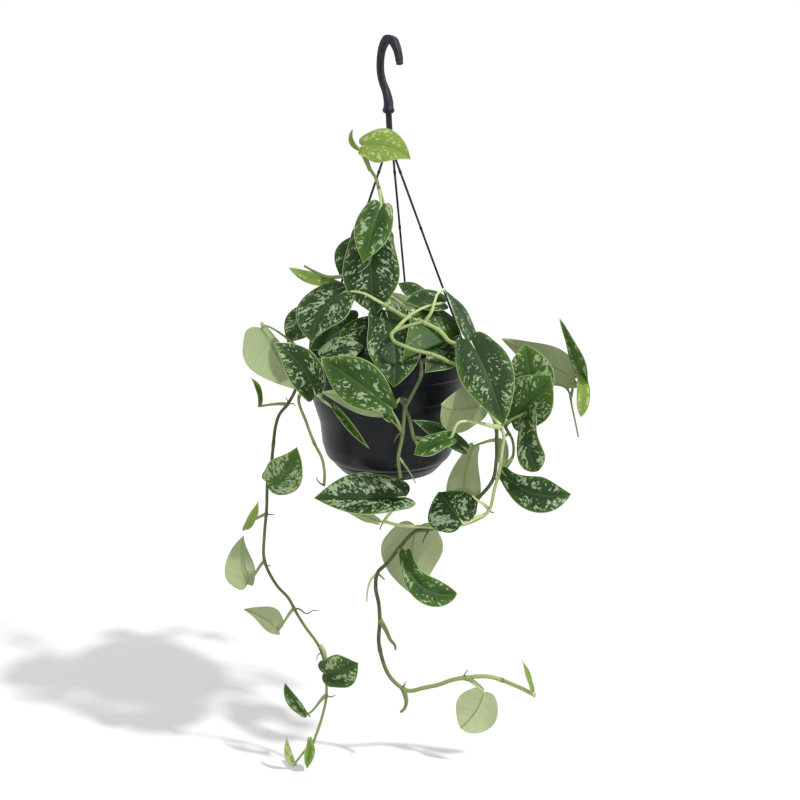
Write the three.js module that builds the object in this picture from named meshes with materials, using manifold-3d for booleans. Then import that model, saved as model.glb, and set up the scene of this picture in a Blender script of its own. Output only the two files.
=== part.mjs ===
// Satin pothos (Scindapsus pictus) in a black hanging pot.
// Millimetres, +Z up. The origin is the seat inside the hook, where the pot hangs.
// +X is to the right of the plant's front and -Y points out of its front.
import * as THREE from 'three';
import { mergeVertices } from 'three/addons/utils/BufferGeometryUtils.js';
import Module from 'manifold-3d';

const wasm = await Module();
wasm.setup();
const { Manifold, Mesh: SolidMesh } = wasm;

// ---------------------------------------------------------------- driving sizes
const GAP = 0.3;                 // clearance between neighbouring pieces
const ROUND_SIDES = 26;          // facets round the pot, the saucer and the soil

const RIM_TOP = -287;            // height of the pot's rim
const RIM_R = 78.4;              // outer radius of the rim band
const POT_FOOT = -394;           // lowest face of the pot
const POT_FLOOR = -389.5;        // upper face of the pot's floor
const SAUCER_FOOT = -405;        // lowest face of the saucer
const SOIL_TOP = -300;           // where the stems leave the soil
const STEM_SINK = 10;            // how deep each stem stands in its hole

const HOOK_BAND = 5.4;           // thickness of the hook's band, in its own plane
const HOOK_WIDTH = 6.4;          // width of the band across that plane
const HOOK_CROWN = 1.35;         // how much thicker the band is over the top
const HOOK_ROOT = 1.3;           // and where it meets the collar
const HOOK_TURN = -Math.PI / 4;  // the hook's plane, turned from the front
const COLLAR_FOOT = -59;         // lower face of the flared collar
const SPLIT = { x: 2.2, z: -90 };  // lower end of the block that the strands leave
const SPLIT_R = 4.2;
const SOCKET_REACH = 2.5;        // distance of each strand's socket from the block's axis

const STRAND_R = 1.1;
const LUG_R = 81.5;              // distance of each lug's hole from the pot's axis
const LUG_HOLE_R = STRAND_R + GAP + 0.1;
const LUG = { reach: 10, width: 10, thick: 3 };
const DRAINS = { count: 5, ring: 34, radius: 4 };  // holes in the pot's floor
const CLIP_POST_R = 9;           // post of the saucer that clips under the pot
const STRANDS = [                // directions of each strand's socket and of its lug
  { name: 'strand_right', socketTurn: -80, turn: -20 },
  { name: 'strand_middle', socketTurn: 38, turn: 74 },
  { name: 'strand_left', socketTurn: 160, turn: 214 },
];

const BLADE_THICK = 0.8;
const SHEATH_R = 1.2;            // radius of a leaf stalk where it leaves the stem
const STALK_TIP_R = 0.35;        // radius where it ends inside the blade
const LONGEST_BOW = 30;          // a leaf stalk longer than this bows no more
const STEM_SIDES = 5;
const STEM_PITCH = 20;           // length of one facet of a stem

// ---------------------------------------------------------------- materials
function finish(color, roughness, metalness = 0) {
  return new THREE.MeshStandardMaterial({ color, roughness, metalness });
}
const POT_BLACK = finish(0x1d1e21, 0.42);
const HANGER_BLACK = finish(0x35353c, 0.5);
const SOIL_BROWN = finish(0x2a2019, 0.95);
const LEAF_GREEN = finish(0x4a6d45, 0.5);

// ---------------------------------------------------------------- helpers
const point = (p) => new THREE.Vector3(...p);
const radians = THREE.MathUtils.degToRad;

// Turns a closed geometry into a solid that can be joined and cut.
function solid(geometry) {
  const plain = geometry.clone();
  plain.deleteAttribute('normal');
  plain.deleteAttribute('uv');
  const merged = mergeVertices(plain, 1e-4);
  return new Manifold(new SolidMesh({
    numProp: 3,
    vertProperties: new Float32Array(merged.attributes.position.array),
    triVerts: new Uint32Array(merged.index.array),
  }));
}

// The outer body of a solid: scraps and hollows that joining sealed are left out.
function mainBody(whole) {
  const bodies = whole.decompose();
  return bodies.reduce((best, body) => (body.volume() > best.volume() ? body : best));
}

function join(solids) {
  return solids.reduce((whole, piece) => whole.add(piece));
}

function part(name, shape, material) {
  const { numProp, vertProperties, triVerts } = shape.getMesh();
  const geometry = new THREE.BufferGeometry();
  const positions = new Float32Array((vertProperties.length / numProp) * 3);
  for (let i = 0; i < positions.length / 3; i += 1) {
    for (let k = 0; k < 3; k += 1) positions[i * 3 + k] = vertProperties[i * numProp + k];
  }
  geometry.setAttribute('position', new THREE.BufferAttribute(positions, 3));
  geometry.setIndex([...triVerts]);
  geometry.computeVertexNormals();
  const mesh = new THREE.Mesh(geometry, material);
  mesh.name = name;
  return mesh;
}

// A body of revolution about Z from a closed [radius, height] outline.
function turned(outline, sides = ROUND_SIDES) {
  const profile = outline.map(([r, z]) => new THREE.Vector2(r, z));
  const geometry = new THREE.LatheGeometry(profile, sides);
  geometry.rotateX(Math.PI / 2);
  return solid(geometry);
}

function post(x, y, foot, top, radius, sides = 12) {
  const geometry = new THREE.CylinderGeometry(radius, radius, top - foot, sides);
  geometry.rotateX(Math.PI / 2);
  geometry.translate(x, y, (top + foot) / 2);
  return solid(geometry);
}

// A closed round bar with a section at each centre, its radius running from one end to the other.
function bar(centres, startR, endR, sides) {
  const last = centres.length - 1;
  const positions = [];
  const faces = [];
  let across = null;
  centres.forEach((centre, i) => {
    const ahead = centres[Math.min(i + 1, last)].clone().sub(centres[Math.max(i - 1, 0)]).normalize();
    across ??= Math.abs(ahead.x) < 0.8 ? new THREE.Vector3(1, 0, 0) : new THREE.Vector3(0, 1, 0);
    across.addScaledVector(ahead, -across.dot(ahead)).normalize();
    const other = new THREE.Vector3().crossVectors(ahead, across);
    const radius = THREE.MathUtils.lerp(startR, endR, i / last);
    for (let j = 0; j < sides; j += 1) {
      const turn = (2 * Math.PI * j) / sides;
      const rim = centre.clone()
        .addScaledVector(across, radius * Math.cos(turn))
        .addScaledVector(other, radius * Math.sin(turn));
      positions.push(rim.x, rim.y, rim.z);
    }
  });
  for (let i = 0; i < last; i += 1) {
    for (let j = 0; j < sides; j += 1) {
      const next = (j + 1) % sides;
      const a = i * sides + j;
      const b = i * sides + next;
      faces.push(a, b, a + sides, b, b + sides, a + sides);
    }
  }
  const end = last * sides;
  for (let j = 1; j < sides - 1; j += 1) {
    faces.push(0, j + 1, j, end, end + j, end + j + 1);
  }
  return solid(closedGeometry(positions, faces));
}

// Evenly spaced places on a smooth curve through the given points.
function smooth(points, pitch) {
  const curve = new THREE.CatmullRomCurve3(points, false, 'centripetal');
  return curve.getSpacedPoints(Math.max(2, Math.round(curve.getLength() / pitch)));
}

function closedGeometry(positions, faces) {
  const geometry = new THREE.BufferGeometry();
  geometry.setAttribute('position', new THREE.Float32BufferAttribute(positions, 3));
  geometry.setIndex(faces);
  return geometry;
}

// ---------------------------------------------------------------- pot, saucer, soil
const POT_OUTSIDE = [
  [0, -391.5], [49, -391.5], [51, POT_FOOT], [57, POT_FOOT], [61, -390.5], [63.5, -386.5],
  [66.5, -376], [68.5, -355], [72.5, -342], [75.2, -333], [75.7, -327.5], [76.3, -326.8],
  [76.5, -307.2], [RIM_R - 0.3, -306], [RIM_R, -289], [RIM_R - 1, RIM_TOP],
];
const POT_INSIDE = [
  [75, RIM_TOP], [74, -304], [73.4, -328], [70.4, -343], [66.4, -356],
  [64.4, -376], [60, -387], [57, POT_FLOOR], [0, POT_FLOOR],
];

function makePot() {
  let pot = turned([...POT_OUTSIDE, ...POT_INSIDE]);
  for (const { turn } of STRANDS) pot = pot.add(makeLug(radians(turn)));
  for (const { turn } of STRANDS) {
    const x = LUG_R * Math.cos(radians(turn));
    const y = LUG_R * Math.sin(radians(turn));
    pot = pot.subtract(post(x, y, RIM_TOP - 10, RIM_TOP + 10, LUG_HOLE_R, 10));
  }
  for (let i = 0; i < DRAINS.count; i += 1) {
    const turn = (2 * Math.PI * i) / DRAINS.count;
    const x = DRAINS.ring * Math.cos(turn);
    const y = DRAINS.ring * Math.sin(turn);
    pot = pot.subtract(post(x, y, POT_FOOT - 2, POT_FLOOR + 1.5, DRAINS.radius, 10));
  }
  return part('pot', pot, POT_BLACK);
}

// A small ear on the rim band with the hole for one strand.
function makeLug(turn) {
  const { reach, width, thick } = LUG;
  const geometry = new THREE.BoxGeometry(reach, width, thick);
  geometry.translate(RIM_R - 2.5 + reach / 2, 0, RIM_TOP - 1 - thick / 2);
  geometry.rotateZ(turn);
  return solid(geometry);
}

function makeSaucer() {
  const shell = turned([
    [0, SAUCER_FOOT], [46.5, SAUCER_FOOT], [48.5, -404], [55.5, -396.2],
    [56.8, POT_FOOT - GAP], [54.8, POT_FOOT - GAP], [53.6, -396], [46.8, -403], [0, -403],
  ]);
  const clipPost = post(0, 0, SAUCER_FOOT + 1, POT_FOOT + 2.5 - GAP, CLIP_POST_R, 16);
  return part('saucer', shell.add(clipPost), POT_BLACK);
}

function makeSoil(holes) {
  const side = POT_INSIDE.filter(([, z]) => z < -305 && z > -389)
    .map(([r, z]) => [r - GAP, z]);
  const outline = [
    [0, POT_FLOOR + GAP], [57 - GAP, POT_FLOOR + GAP], ...side.reverse(),
    [73.6, -302], [66, -300.5], [45, -299], [20, -297.5], [0, -297],
  ];
  let soil = turned(outline);
  for (const [x, y, radius] of holes) {
    const foot = SOIL_TOP - STEM_SINK - GAP;
    soil = soil.subtract(post(x, y, foot, SOIL_TOP + 10, radius + GAP + 0.35, 6));
  }
  return part('soil', soil, SOIL_BROWN);
}

// ---------------------------------------------------------------- hanger
// Middle line of the hook's band: [out, up] in the hook's own plane, from the collar
// up the arm, over the top and down to the tip.
const HOOK_LINE = [
  [1, -60], [1, -50], [-2, -40.6], [-7, -31], [-9.6, -20.8], [-9, -9], [-6, -0.4],
  [0, 5], [7, 3], [11.2, -2.6], [14, -9], [16, -18.5],
];

function makeHook() {
  const line = new THREE.SplineCurve(HOOK_LINE.map(([out, up]) => new THREE.Vector2(out, up)));
  const steps = 20;
  const half = HOOK_BAND / 2;
  const left = [];
  const right = [];
  for (let i = 0; i <= steps; i += 1) {
    const middle = line.getPointAt(i / steps);
    const ahead = line.getTangentAt(i / steps);
    const fromCrown = (i / steps - 0.74) / 0.12;
    const fromRoot = i / steps / 0.2;
    const thick = 1 + (HOOK_CROWN - 1) * Math.exp(-fromCrown * fromCrown)
      + (HOOK_ROOT - 1) * Math.exp(-fromRoot * fromRoot);
    const across = new THREE.Vector2(-ahead.y, ahead.x).multiplyScalar(half * thick);
    left.push(middle.clone().add(across));
    right.unshift(middle.clone().sub(across));
  }
  const outline = new THREE.Shape([...left, ...right]);
  const band = new THREE.ExtrudeGeometry(outline, { depth: HOOK_WIDTH, bevelEnabled: false });
  band.translate(0, 0, -HOOK_WIDTH / 2);
  band.rotateX(Math.PI / 2);
  band.rotateZ(HOOK_TURN);

  const collar = turned([
    [0, COLLAR_FOOT], [5.6, COLLAR_FOOT], [5.8, -57.6], [3.6, -52], [3, -46], [0, -46],
  ], 14).translate(0.7, 0, 0);
  const stem = bar([point([0.7, 0, -57]), point([SPLIT.x, 0, SPLIT.z + 4])], 2.9, 2.9, 8);
  let block = post(SPLIT.x, 0, SPLIT.z, SPLIT.z + 6, SPLIT_R, 14);
  for (const strand of STRANDS) {
    const { x, y } = socketOf(strand);
    block = block.subtract(post(x, y, SPLIT.z - 1, SPLIT.z + 4.5, STRAND_R + GAP, 8));
  }
  const hook = solid(band).add(collar).add(stem.subtract(strandRoom())).add(block);
  return part('hook', mainBody(hook), HANGER_BLACK);
}

// The space of the three strand sockets, kept clear of the stem that ends above them.
function strandRoom() {
  return post(SPLIT.x, 0, SPLIT.z - 2, SPLIT.z + 4.6, 8, 10);
}

function socketOf({ socketTurn }) {
  return {
    x: SPLIT.x + SOCKET_REACH * Math.cos(radians(socketTurn)),
    y: SOCKET_REACH * Math.sin(radians(socketTurn)),
  };
}

// A strand stands in its socket, runs straight to its lug, goes through it and ends in a head.
function makeStrand(strand) {
  const { name, turn } = strand;
  const { x, y } = socketOf(strand);
  const lugX = LUG_R * Math.cos(radians(turn));
  const lugY = LUG_R * Math.sin(radians(turn));
  const lugTop = RIM_TOP - 1;
  const lugFoot = lugTop - LUG.thick;
  const route = [
    point([x, y, SPLIT.z + 4.2]), point([x, y, SPLIT.z + 0.5]),
    point([x + (lugX - x) * 0.02, y + (lugY - y) * 0.02, SPLIT.z - 4]),
    point([x + (lugX - x) * 0.5, y + (lugY - y) * 0.5, (SPLIT.z + lugTop) / 2]),
    point([lugX - (lugX - x) * 0.02, lugY - (lugY - y) * 0.02, lugTop + 5]),
    point([lugX, lugY, lugTop + 0.6]), point([lugX, lugY, lugFoot - 2]),
  ];
  const cord = bar(route, STRAND_R, STRAND_R, 8);
  const head = post(lugX, lugY, lugFoot - 3.3, lugFoot - GAP, 2.7, 10);
  return part(name, cord.add(head), HANGER_BLACK);
}

// ---------------------------------------------------------------- leaves
// A leaf's blade: from the sinus (base) to the tip, with the upper face towards "face".
// wide: width over length. full: how far towards the tip the widest place lies. heel: breadth
// at the sinus. point: below 1 makes the outline rounder.
// arch: bend of the midrib, in degrees, tip and base going down.
// fold: rise of the two halves from the midrib, in degrees, left then right (seen from
// above with the tip ahead). cup: how much each half bends back up to its margin.
// twist: turn of the blade from base to tip. sway: sideways bow of the midrib.
// via: places that the leaf stalk runs through, where it doesn't take the plain bow.
const PLAIN_LEAF = {
  wide: 0.66, full: 1.1, heel: 0.27, point: 1, arch: 35, fold: [12, 12], cup: -20, twist: 0,
  sway: 0, wave: 0.012, via: [],
};

// Half width of the blade over its largest half width, at s from base (0) to tip (1).
function outlineWidth(leaf, s) {
  const sine = Math.sin(Math.PI * (leaf.heel + (1 - leaf.heel) * s ** leaf.full));
  return Math.max(0, sine) ** leaf.point;
}

// The two lobes reach back behind the sinus and round off to the margins;
// t runs from -1 to 1 across the blade.
function lobeReach({ heel }, t) {
  const side = Math.min(1, Math.abs(t));
  return heel * (0.3 * Math.sin(Math.PI * side) ** 0.8 - 0.26 * side ** 4);
}

// Point of the blade's middle surface and its normal at (s, t).
function bladePoint(leaf, s, t) {
  const along = leaf.tip.clone().sub(leaf.base);
  const chord = along.length();
  along.normalize();
  const up = leaf.face.clone().addScaledVector(along, -leaf.face.dot(along)).normalize();
  const side = new THREE.Vector3().crossVectors(along, up);

  const u = s - lobeReach(leaf, t) * (1 - s) ** 3;
  const bend = radians(leaf.arch);
  const radius = chord / (2 * Math.sin(bend / 2));
  const angle = bend * (u - 0.5);
  const sideways = leaf.sway * 4 * u * (1 - u);
  const centre = leaf.base.clone()
    .addScaledVector(along, radius * (Math.sin(angle) + Math.sin(bend / 2)))
    .addScaledVector(up, radius * (Math.cos(angle) - Math.cos(bend / 2)))
    .addScaledVector(side, sideways * chord);
  const ahead = along.clone().multiplyScalar(Math.cos(angle)).addScaledVector(up, -Math.sin(angle));
  const above = along.clone().multiplyScalar(Math.sin(angle)).addScaledVector(up, Math.cos(angle));

  const yaw = Math.atan(leaf.sway * 4 * (1 - 2 * u));
  const flat = side.clone().multiplyScalar(Math.cos(yaw)).addScaledVector(ahead, -Math.sin(yaw));
  const roll = radians(leaf.twist) * (u - 0.5);
  const across = flat.clone().multiplyScalar(Math.cos(roll)).addScaledVector(above, Math.sin(roll));
  const normal = above.clone().multiplyScalar(Math.cos(roll)).addScaledVector(flat, -Math.sin(roll));

  const sign = Math.sign(t) || 1;
  const halfWidth = (leaf.wide * chord) / 2;
  const reach = Math.abs(t) * outlineWidth(leaf, s) * halfWidth;
  const rise = radians(leaf.fold[t < 0 ? 0 : 1]);
  const curl = radians(leaf.cup || 0.01);
  const turn = rise + (curl * reach) / halfWidth;
  const out = (halfWidth / curl) * (Math.sin(turn) - Math.sin(rise));
  const lift = (-halfWidth / curl) * (Math.cos(turn) - Math.cos(rise));
  const ripple = leaf.wave * chord * t * t * Math.sin(2 * Math.PI * (1.5 * s + 0.25 * sign));
  const place = centre.addScaledVector(across, sign * out).addScaledVector(normal, lift + ripple);
  const facing = normal.clone().multiplyScalar(Math.cos(turn))
    .addScaledVector(across, -sign * Math.sin(turn));
  return { place, facing };
}

const BLADE_ROWS = [0, 0.16, 0.37, 0.6, 0.83, 1];
const BLADE_COLUMNS = [-1, -0.55, 0, 0.55, 1];
const SHORT_LEAF = 60;           // a blade under this length has fewer rows
const SHORT_ROWS = [0, 0.18, 0.48, 0.79, 1];
const TINY_LEAF = 30;            // and one under this length has fewer columns too
const TINY_COLUMNS = [-1, 0, 1];

// The blade as a thin closed body, its two faces split into triangles alike.
function makeBlade(leaf) {
  const chord = leaf.tip.distanceTo(leaf.base);
  const rowPlaces = chord < SHORT_LEAF ? SHORT_ROWS : BLADE_ROWS;
  const columnPlaces = chord < TINY_LEAF ? TINY_COLUMNS : BLADE_COLUMNS;
  const columns = columnPlaces.length;
  const lastRow = rowPlaces.length - 1;
  const positions = [];
  const faceSize = columns * lastRow + 1;
  for (const half of [BLADE_THICK / 2, -BLADE_THICK / 2]) {
    rowPlaces.forEach((s, i) => {
      for (const t of i === lastRow ? [0] : columnPlaces) {
        const { place, facing } = bladePoint(leaf, s, t);
        place.addScaledVector(facing, half);
        positions.push(place.x, place.y, place.z);
      }
    });
  }
  const at = (i, j) => (i === lastRow ? columns * lastRow : i * columns + j);
  const faces = [];
  const both = (a, b, c) => {
    if (a === b || b === c || a === c) return;
    faces.push(a, b, c, faceSize + a, faceSize + c, faceSize + b);
  };
  for (let i = 0; i < lastRow; i += 1) {
    for (let j = 0; j < columns - 1; j += 1) {
      both(at(i, j), at(i, j + 1), at(i + 1, j + 1));
      both(at(i, j), at(i + 1, j + 1), at(i + 1, j));
    }
  }
  const edge = [];
  for (let j = 0; j < columns; j += 1) edge.push(at(0, j));
  for (let i = 1; i <= lastRow; i += 1) edge.push(at(i, columns - 1));
  for (let i = lastRow - 1; i > 0; i -= 1) edge.push(at(i, 0));
  edge.forEach((a, k) => {
    const b = edge[(k + 1) % edge.length];
    faces.push(a, faceSize + b, b, a, faceSize + a, faceSize + b);
  });
  return solid(closedGeometry(positions, faces));
}

// The leaf stalk, from inside the stem to just under the blade's midrib.
function makePetiole(leaf) {
  const start = leaf.from;
  const { place: sinus, facing } = bladePoint(leaf, 0, 0);
  const { place: inside } = bladePoint(leaf, 0.07, 0);
  const reach = Math.min(LONGEST_BOW, start.distanceTo(sinus));
  const back = sinus.clone().sub(inside).normalize();
  const approach = sinus.clone()
    .addScaledVector(back, reach * 0.22).addScaledVector(facing, -reach * 0.25);
  const leave = start.clone().lerp(sinus, 0.35).add(point([0, 0, reach * 0.12]));
  const bow = new THREE.CubicBezierCurve3(start, leave, approach, sinus);
  const plainBow = [0, 0.5, 1].map((k) => bow.getPoint(k));
  const route = leaf.via.length ? [start, ...leaf.via.map(point), sinus] : plainBow;
  return bar([...route, inside], SHEATH_R, STALK_TIP_R, 4);
}

function makeLeaf(from, base, tip, face, shape = {}) {
  const leaf = {
    ...PLAIN_LEAF, ...shape,
    from, base: point(base), tip: point(tip), face: point(face),
  };
  return makePetiole(leaf).add(makeBlade(leaf));
}

// ---------------------------------------------------------------- leafy stems
// Each vine: its stems (points that the stem runs through; a stem that doesn't start over
// the soil branches off an earlier one), its radius at its foot and at its end, and its leaves
// (petiole's start on the stem, blade's base, blade's tip, direction of the upper face, shape).
const SPROUT = SOIL_TOP + 4;     // height of the point where a stem comes out of its hole

const VINES = [
  {
    name: 'vine_top', radius: [2, 1.5],
    stems: [
      [[60, -24, SPROUT], [63, -33, -284], [67, -42, -276], [68, -52, -274], [68, -62, -280],
        [63, -69, -286], [56, -72, -284], [50, -76, -280], [38, -80, -275], [26, -87, -271],
        [14, -90, -266], [7, -88, -263], [4, -84, -259], [5, -79, -256], [16, -70, -252],
        [32, -60, -249]],
      [[68, -52, -274], [64, -57, -270], [56, -62, -266], [48, -63, -257], [32, -60, -249],
        [17, -58, -245], [6, -54, -239], [-3, -50, -234], [1, -43, -234], [0, -33, -231],
        [-5, -23, -223], [-1, -20, -197], [-2, -18, -172], [-4, -16, -144], [-8, -15, -130],
        [-11, -14, -120], [-16, -13, -112], [-20, -13, -101], [-25, -13, -92]],
    ],
    leaves: [
      [[-20, -13, -101], [-23, -16, -91], [21, -26, -103], [0.1, -0.9, 0.4],
        { wide: 0.8, fold: [8, 15], sway: -0.08 }],
      [[-25, -13, -93], [-26, -14, -93], [-32, -18, -76], [-0.5, -0.8, 0],
        { wide: 0.6, fold: [5, 60], sway: -0.15 }],
      [[-8, -15, -130], [-6, -32, -145], [-22, -54, -196], [-0.1, -0.95, 0.25],
        { wide: 0.6, full: 1.2 }],
      [[-2, -18, -170], [-13, -26, -167], [-11, -46, -244], [0, -0.95, 0.2],
        { wide: 0.67, full: 1.7, sway: 0.04 }],
      [[-2, -19, -180], [-24, -30, -179], [-43, -38, -212], [-0.2, -0.8, 0.5], { wide: 0.98 }],
      [[-5, -24, -223], [-41, -16, -218], [-92, -36, -201], [0, -0.85, 0.5],
        { wide: 0.4, full: 1.9, point: 0.7, fold: [0, -58] }],
      [[-4, -50, -234], [-40, -42, -223], [-68, -74, -266], [-0.3, -0.75, 0.6],
        { via: [[-11, -54, -229], [-20, -54, -224], [-30, -50, -222]],
          wide: 0.9, full: 1.2, sway: 0.1 }],
      [[16, -58, -254], [36, 8, -236], [9, 20, -220], [0, -0.6, 0.8]],
      [[5, -79, -255], [53, -36, -234], [16, -40, -233], [0, -0.5, 0.87],
        { via: [[20, -70, -242], [32, -62, -236], [43, -50, -234]], wide: 0.95 }],
      [[31, -60, -248], [-1, 2, -231], [31, -10, -241], [0, 0.8, -0.5], { wide: 0.46 }],
      [[34, -60, -249], [52, -37, -221], [82, -47, -276], [0.9, -0.42, 0.1],
        { via: [[40, -61, -240], [43, -58, -231], [46, -52, -224], [50, -46, -222]],
          wide: 0.6, full: 1.7, heel: 0.06, fold: [5, 5] }],
      [[65, -50, -275], [68, -44, -263], [14, -86, -280], [-0.1, -0.95, 0.3],
        { wide: 1.2, full: 0.9, fold: [-82, 2] }],
      [[61, -30, -289], [62, -44, -274], [34, -84, -292], [0, -0.9, 0.4], { wide: 0.62 }],
      [[2, -52, -238], [-2, -41, -241], [6, -90, -304], [0.05, -0.8, 0.6],
        { wide: 0.62, full: 1.6, sway: -0.05 }],
      [[-3, -50, -234], [-12, -34, -248], [-35, -60, -295], [-0.05, -0.85, 0.5],
        { wide: 0.8, full: 0.95, heel: 0.06 }],
    ],
  },
  {
    name: 'vine_left_long', radius: [1.6, 1.4],
    stems: [
      [[-55, -14, SPROUT], [-64, -18, -285], [-75, -22, -281.5], [-84, -32, -290], [-87, -48, -314],
        [-94, -54, -327], [-102, -55, -337], [-106, -55, -349], [-109, -54, -369],
        [-112, -52, -390], [-116, -50, -407], [-118, -48, -433], [-121, -47, -459],
        [-122, -46, -487], [-111, -45, -513], [-100, -44, -527], [-92, -43, -544], [-84, -42, -559],
        [-71, -40, -581], [-65, -38, -603], [-64, -37, -628], [-65, -36, -644], [-70, -35, -666],
        [-79, -34, -694]],
    ],
    leaves: [
      [[-75, -22, -282], [-73, -12, -245], [-97, -22, -274], [-0.3, -0.8, 0.5], { wide: 0.95 }],
      [[-78, -26, -284], [-119, -36, -258], [-84, -58, -312], [-0.5, 0.6, 0.5],
        { wide: 0.86, full: 0.95, fold: [5, 70] }],
      [[-94, -54, -327], [-119, -62, -326], [-126, -68, -299], [0.8, -0.5, 0.3],
        { wide: 0.3, sway: 0.1 }],
      [[-116, -50, -407], [-113, -56, -404], [-84, -76, -363], [0.1, -0.9, 0.4],
        { wide: 0.68, full: 1.25, sway: 0.13 }],
      [[-119, -48, -438], [-138, -50, -452], [-124, -58, -421], [0.7, -0.6, 0.3],
        { wide: 0.38, sway: -0.06 }],
      [[-122, -46, -487], [-140, -44, -511], [-144, -34, -465], [-0.2, 0.9, 0.3],
        { wide: 0.78, full: 0.75, fold: [60, 12], sway: 0.08 }],
      [[-93, -44, -539], [-112, -40, -562], [-147, -30, -546], [0, 0.95, 0.2],
        { wide: 0.76, full: 0.8, heel: 0.3, fold: [30, 25] }],
      [[-66, -38, -598], [-66, -46, -608], [-30, -60, -589], [0.1, -0.9, 0.2],
        { wide: 0.84, full: 1.8, heel: 0.3, sway: 0.04 }],
      [[-64, -37, -639], [-86, -30, -664], [-108, -28, -629], [-0.5, -0.6, 0.6],
        { wide: 0.48, full: 1.6, fold: [8, 45] }],
      [[-79, -34, -694], [-100, -36, -719], [-106, -38, -684], [0, -0.6, 0.8],
        { wide: 0.24, sway: -0.08 }],
      [[-79, -34, -694], [-83, -36, -688], [-86, -40, -720], [0.6, -0.7, 0.2],
        { wide: 0.42, full: 1.3, heel: 0.16 }],
    ],
  },
  {
    name: 'vine_left_short', radius: [1.4, 1.4],
    stems: [
      [[-40, -32, SPROUT], [-50, -44, -284], [-58, -52, -280], [-66, -57, -289], [-76, -58, -308],
        [-83, -59, -321], [-76, -62, -343], [-69, -64, -362], [-62, -62, -378], [-60, -60, -394],
        [-61, -58, -406]],
    ],
    leaves: [
      [[-50, -44, -285], [-60, -60, -282], [-22, -58, -272], [0, -0.8, 0.6],
        { wide: 0.75, full: 1.3 }],
      [[-81, -59, -318], [-67, -70, -314], [-101, -86, -264], [0.1, -0.85, 0.5],
        { wide: 0.55, full: 1.15, sway: 0.08 }],
      [[-77, -58, -310], [-48, -81, -324], [-17, -84, -362], [0, -0.95, 0.1],
        { wide: 0.2, fold: [45, 55] }],
      [[-50, -44, -285], [-29, -29, -250], [-73, -55, -276], [0, -1, 0.1], { wide: 0.52 }],
    ],
  },
  {
    name: 'vine_front', radius: [1.7, 1.6],
    stems: [
      [[26, -52, SPROUT], [28, -66, -284], [30, -78, -281.5], [30, -88, -294], [20, -90, -315],
        [16, -90, -323], [15, -90, -334], [13, -88, -353], [10, -86, -370], [12, -84, -390]],
      [[11, -90, -313], [16, -90, -323], [20, -88, -334], [24, -86, -351], [29, -84, -361]],
    ],
    leaves: [
      [[11, -90, -313], [4, -100, -321], [-59, -88, -278], [0.1, -0.98, 0.15],
        { wide: 0.54, heel: 0.12, sway: 0.02 }],
      [[13, -88, -346], [4, -90, -334], [-6, -92, -327], [0, -0.8, 0.5], { wide: 0.6 }],
      [[13, -88, -346], [3, -86, -325], [-60, -76, -311], [0, 0.95, -0.1], { wide: 0.36 }],
      [[24, -86, -351], [72, -70, -366], [22, -80, -336], [0, -0.8, 0.6], { wide: 0.3 }],
    ],
  },
  {
    name: 'vine_right_light', radius: [1.6, 1.6],
    stems: [
      [[50, -36, SPROUT], [58, -41, -285], [68, -46, -281.5], [80, -54, -294], [95, -64, -332],
        [108, -66, -353], [107, -66, -368], [105, -66, -389], [101, -65, -407], [96, -64, -429],
        [86, -62, -438], [72, -58, -445], [50, -54, -449], [34, -50, -450], [9, -48, -449],
        [-4, -46, -446]],
    ],
    leaves: [
      [[78, -53, -292], [76, -66, -266], [104, -98, -337], [0.1, -0.95, 0.3],
        { wide: 0.6, sway: -0.02 }],
      [[95, -64, -332], [88, -66, -326], [48, -104, -317], [-0.7, 0.7, 0.2],
        { wide: 0.84, sway: 0.1 }],
      [[92, -63, -434], [70, -74, -436], [50, -36, -419], [0, -0.6, 0.8],
        { wide: 1.15, full: 1, fold: [-10, 12], sway: -0.04 }],
      [[-4, -46, -446], [16, -62, -416], [-69, -80, -411], [0, -0.85, 0.5],
        { wide: 0.58, full: 1.4, fold: [50, 5], sway: -0.02 }],
      [[-4, -46, -446], [-10, -50, -445], [-41, -56, -432], [0, 0.9, 0.2], { wide: 0.35 }],
      [[102, -65, -348], [58, -94, -349], [24, -98, -364], [-0.1, -0.7, 0.7],
        { via: [[64, -96, -335]], wide: 0.56, full: 1.8 }],
    ],
  },
  {
    name: 'vine_right_dark', radius: [1.6, 2.2],
    stems: [
      [[42, -46, SPROUT], [48, -56, -285], [54, -61, -281.5], [66, -66, -294], [84, -60, -320],
        [97, -56, -336], [102, -56, -348], [103, -56, -366], [103, -56, -382], [100, -54, -402],
        [87, -50, -421], [68, -44, -443], [41, -38, -457], [27, -36, -460], [-2, -34, -495],
        [-11, -33, -505], [-13, -32, -522], [-10, -32, -539], [-9, -32, -557], [-10, -31, -584],
        [0, -30, -619], [14, -30, -634], [22, -30, -637], [36, -31, -633], [51, -32, -629],
        [65, -33, -623], [77, -34, -620], [103, -37, -617], [129, -40, -625], [150, -42, -635]],
    ],
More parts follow.
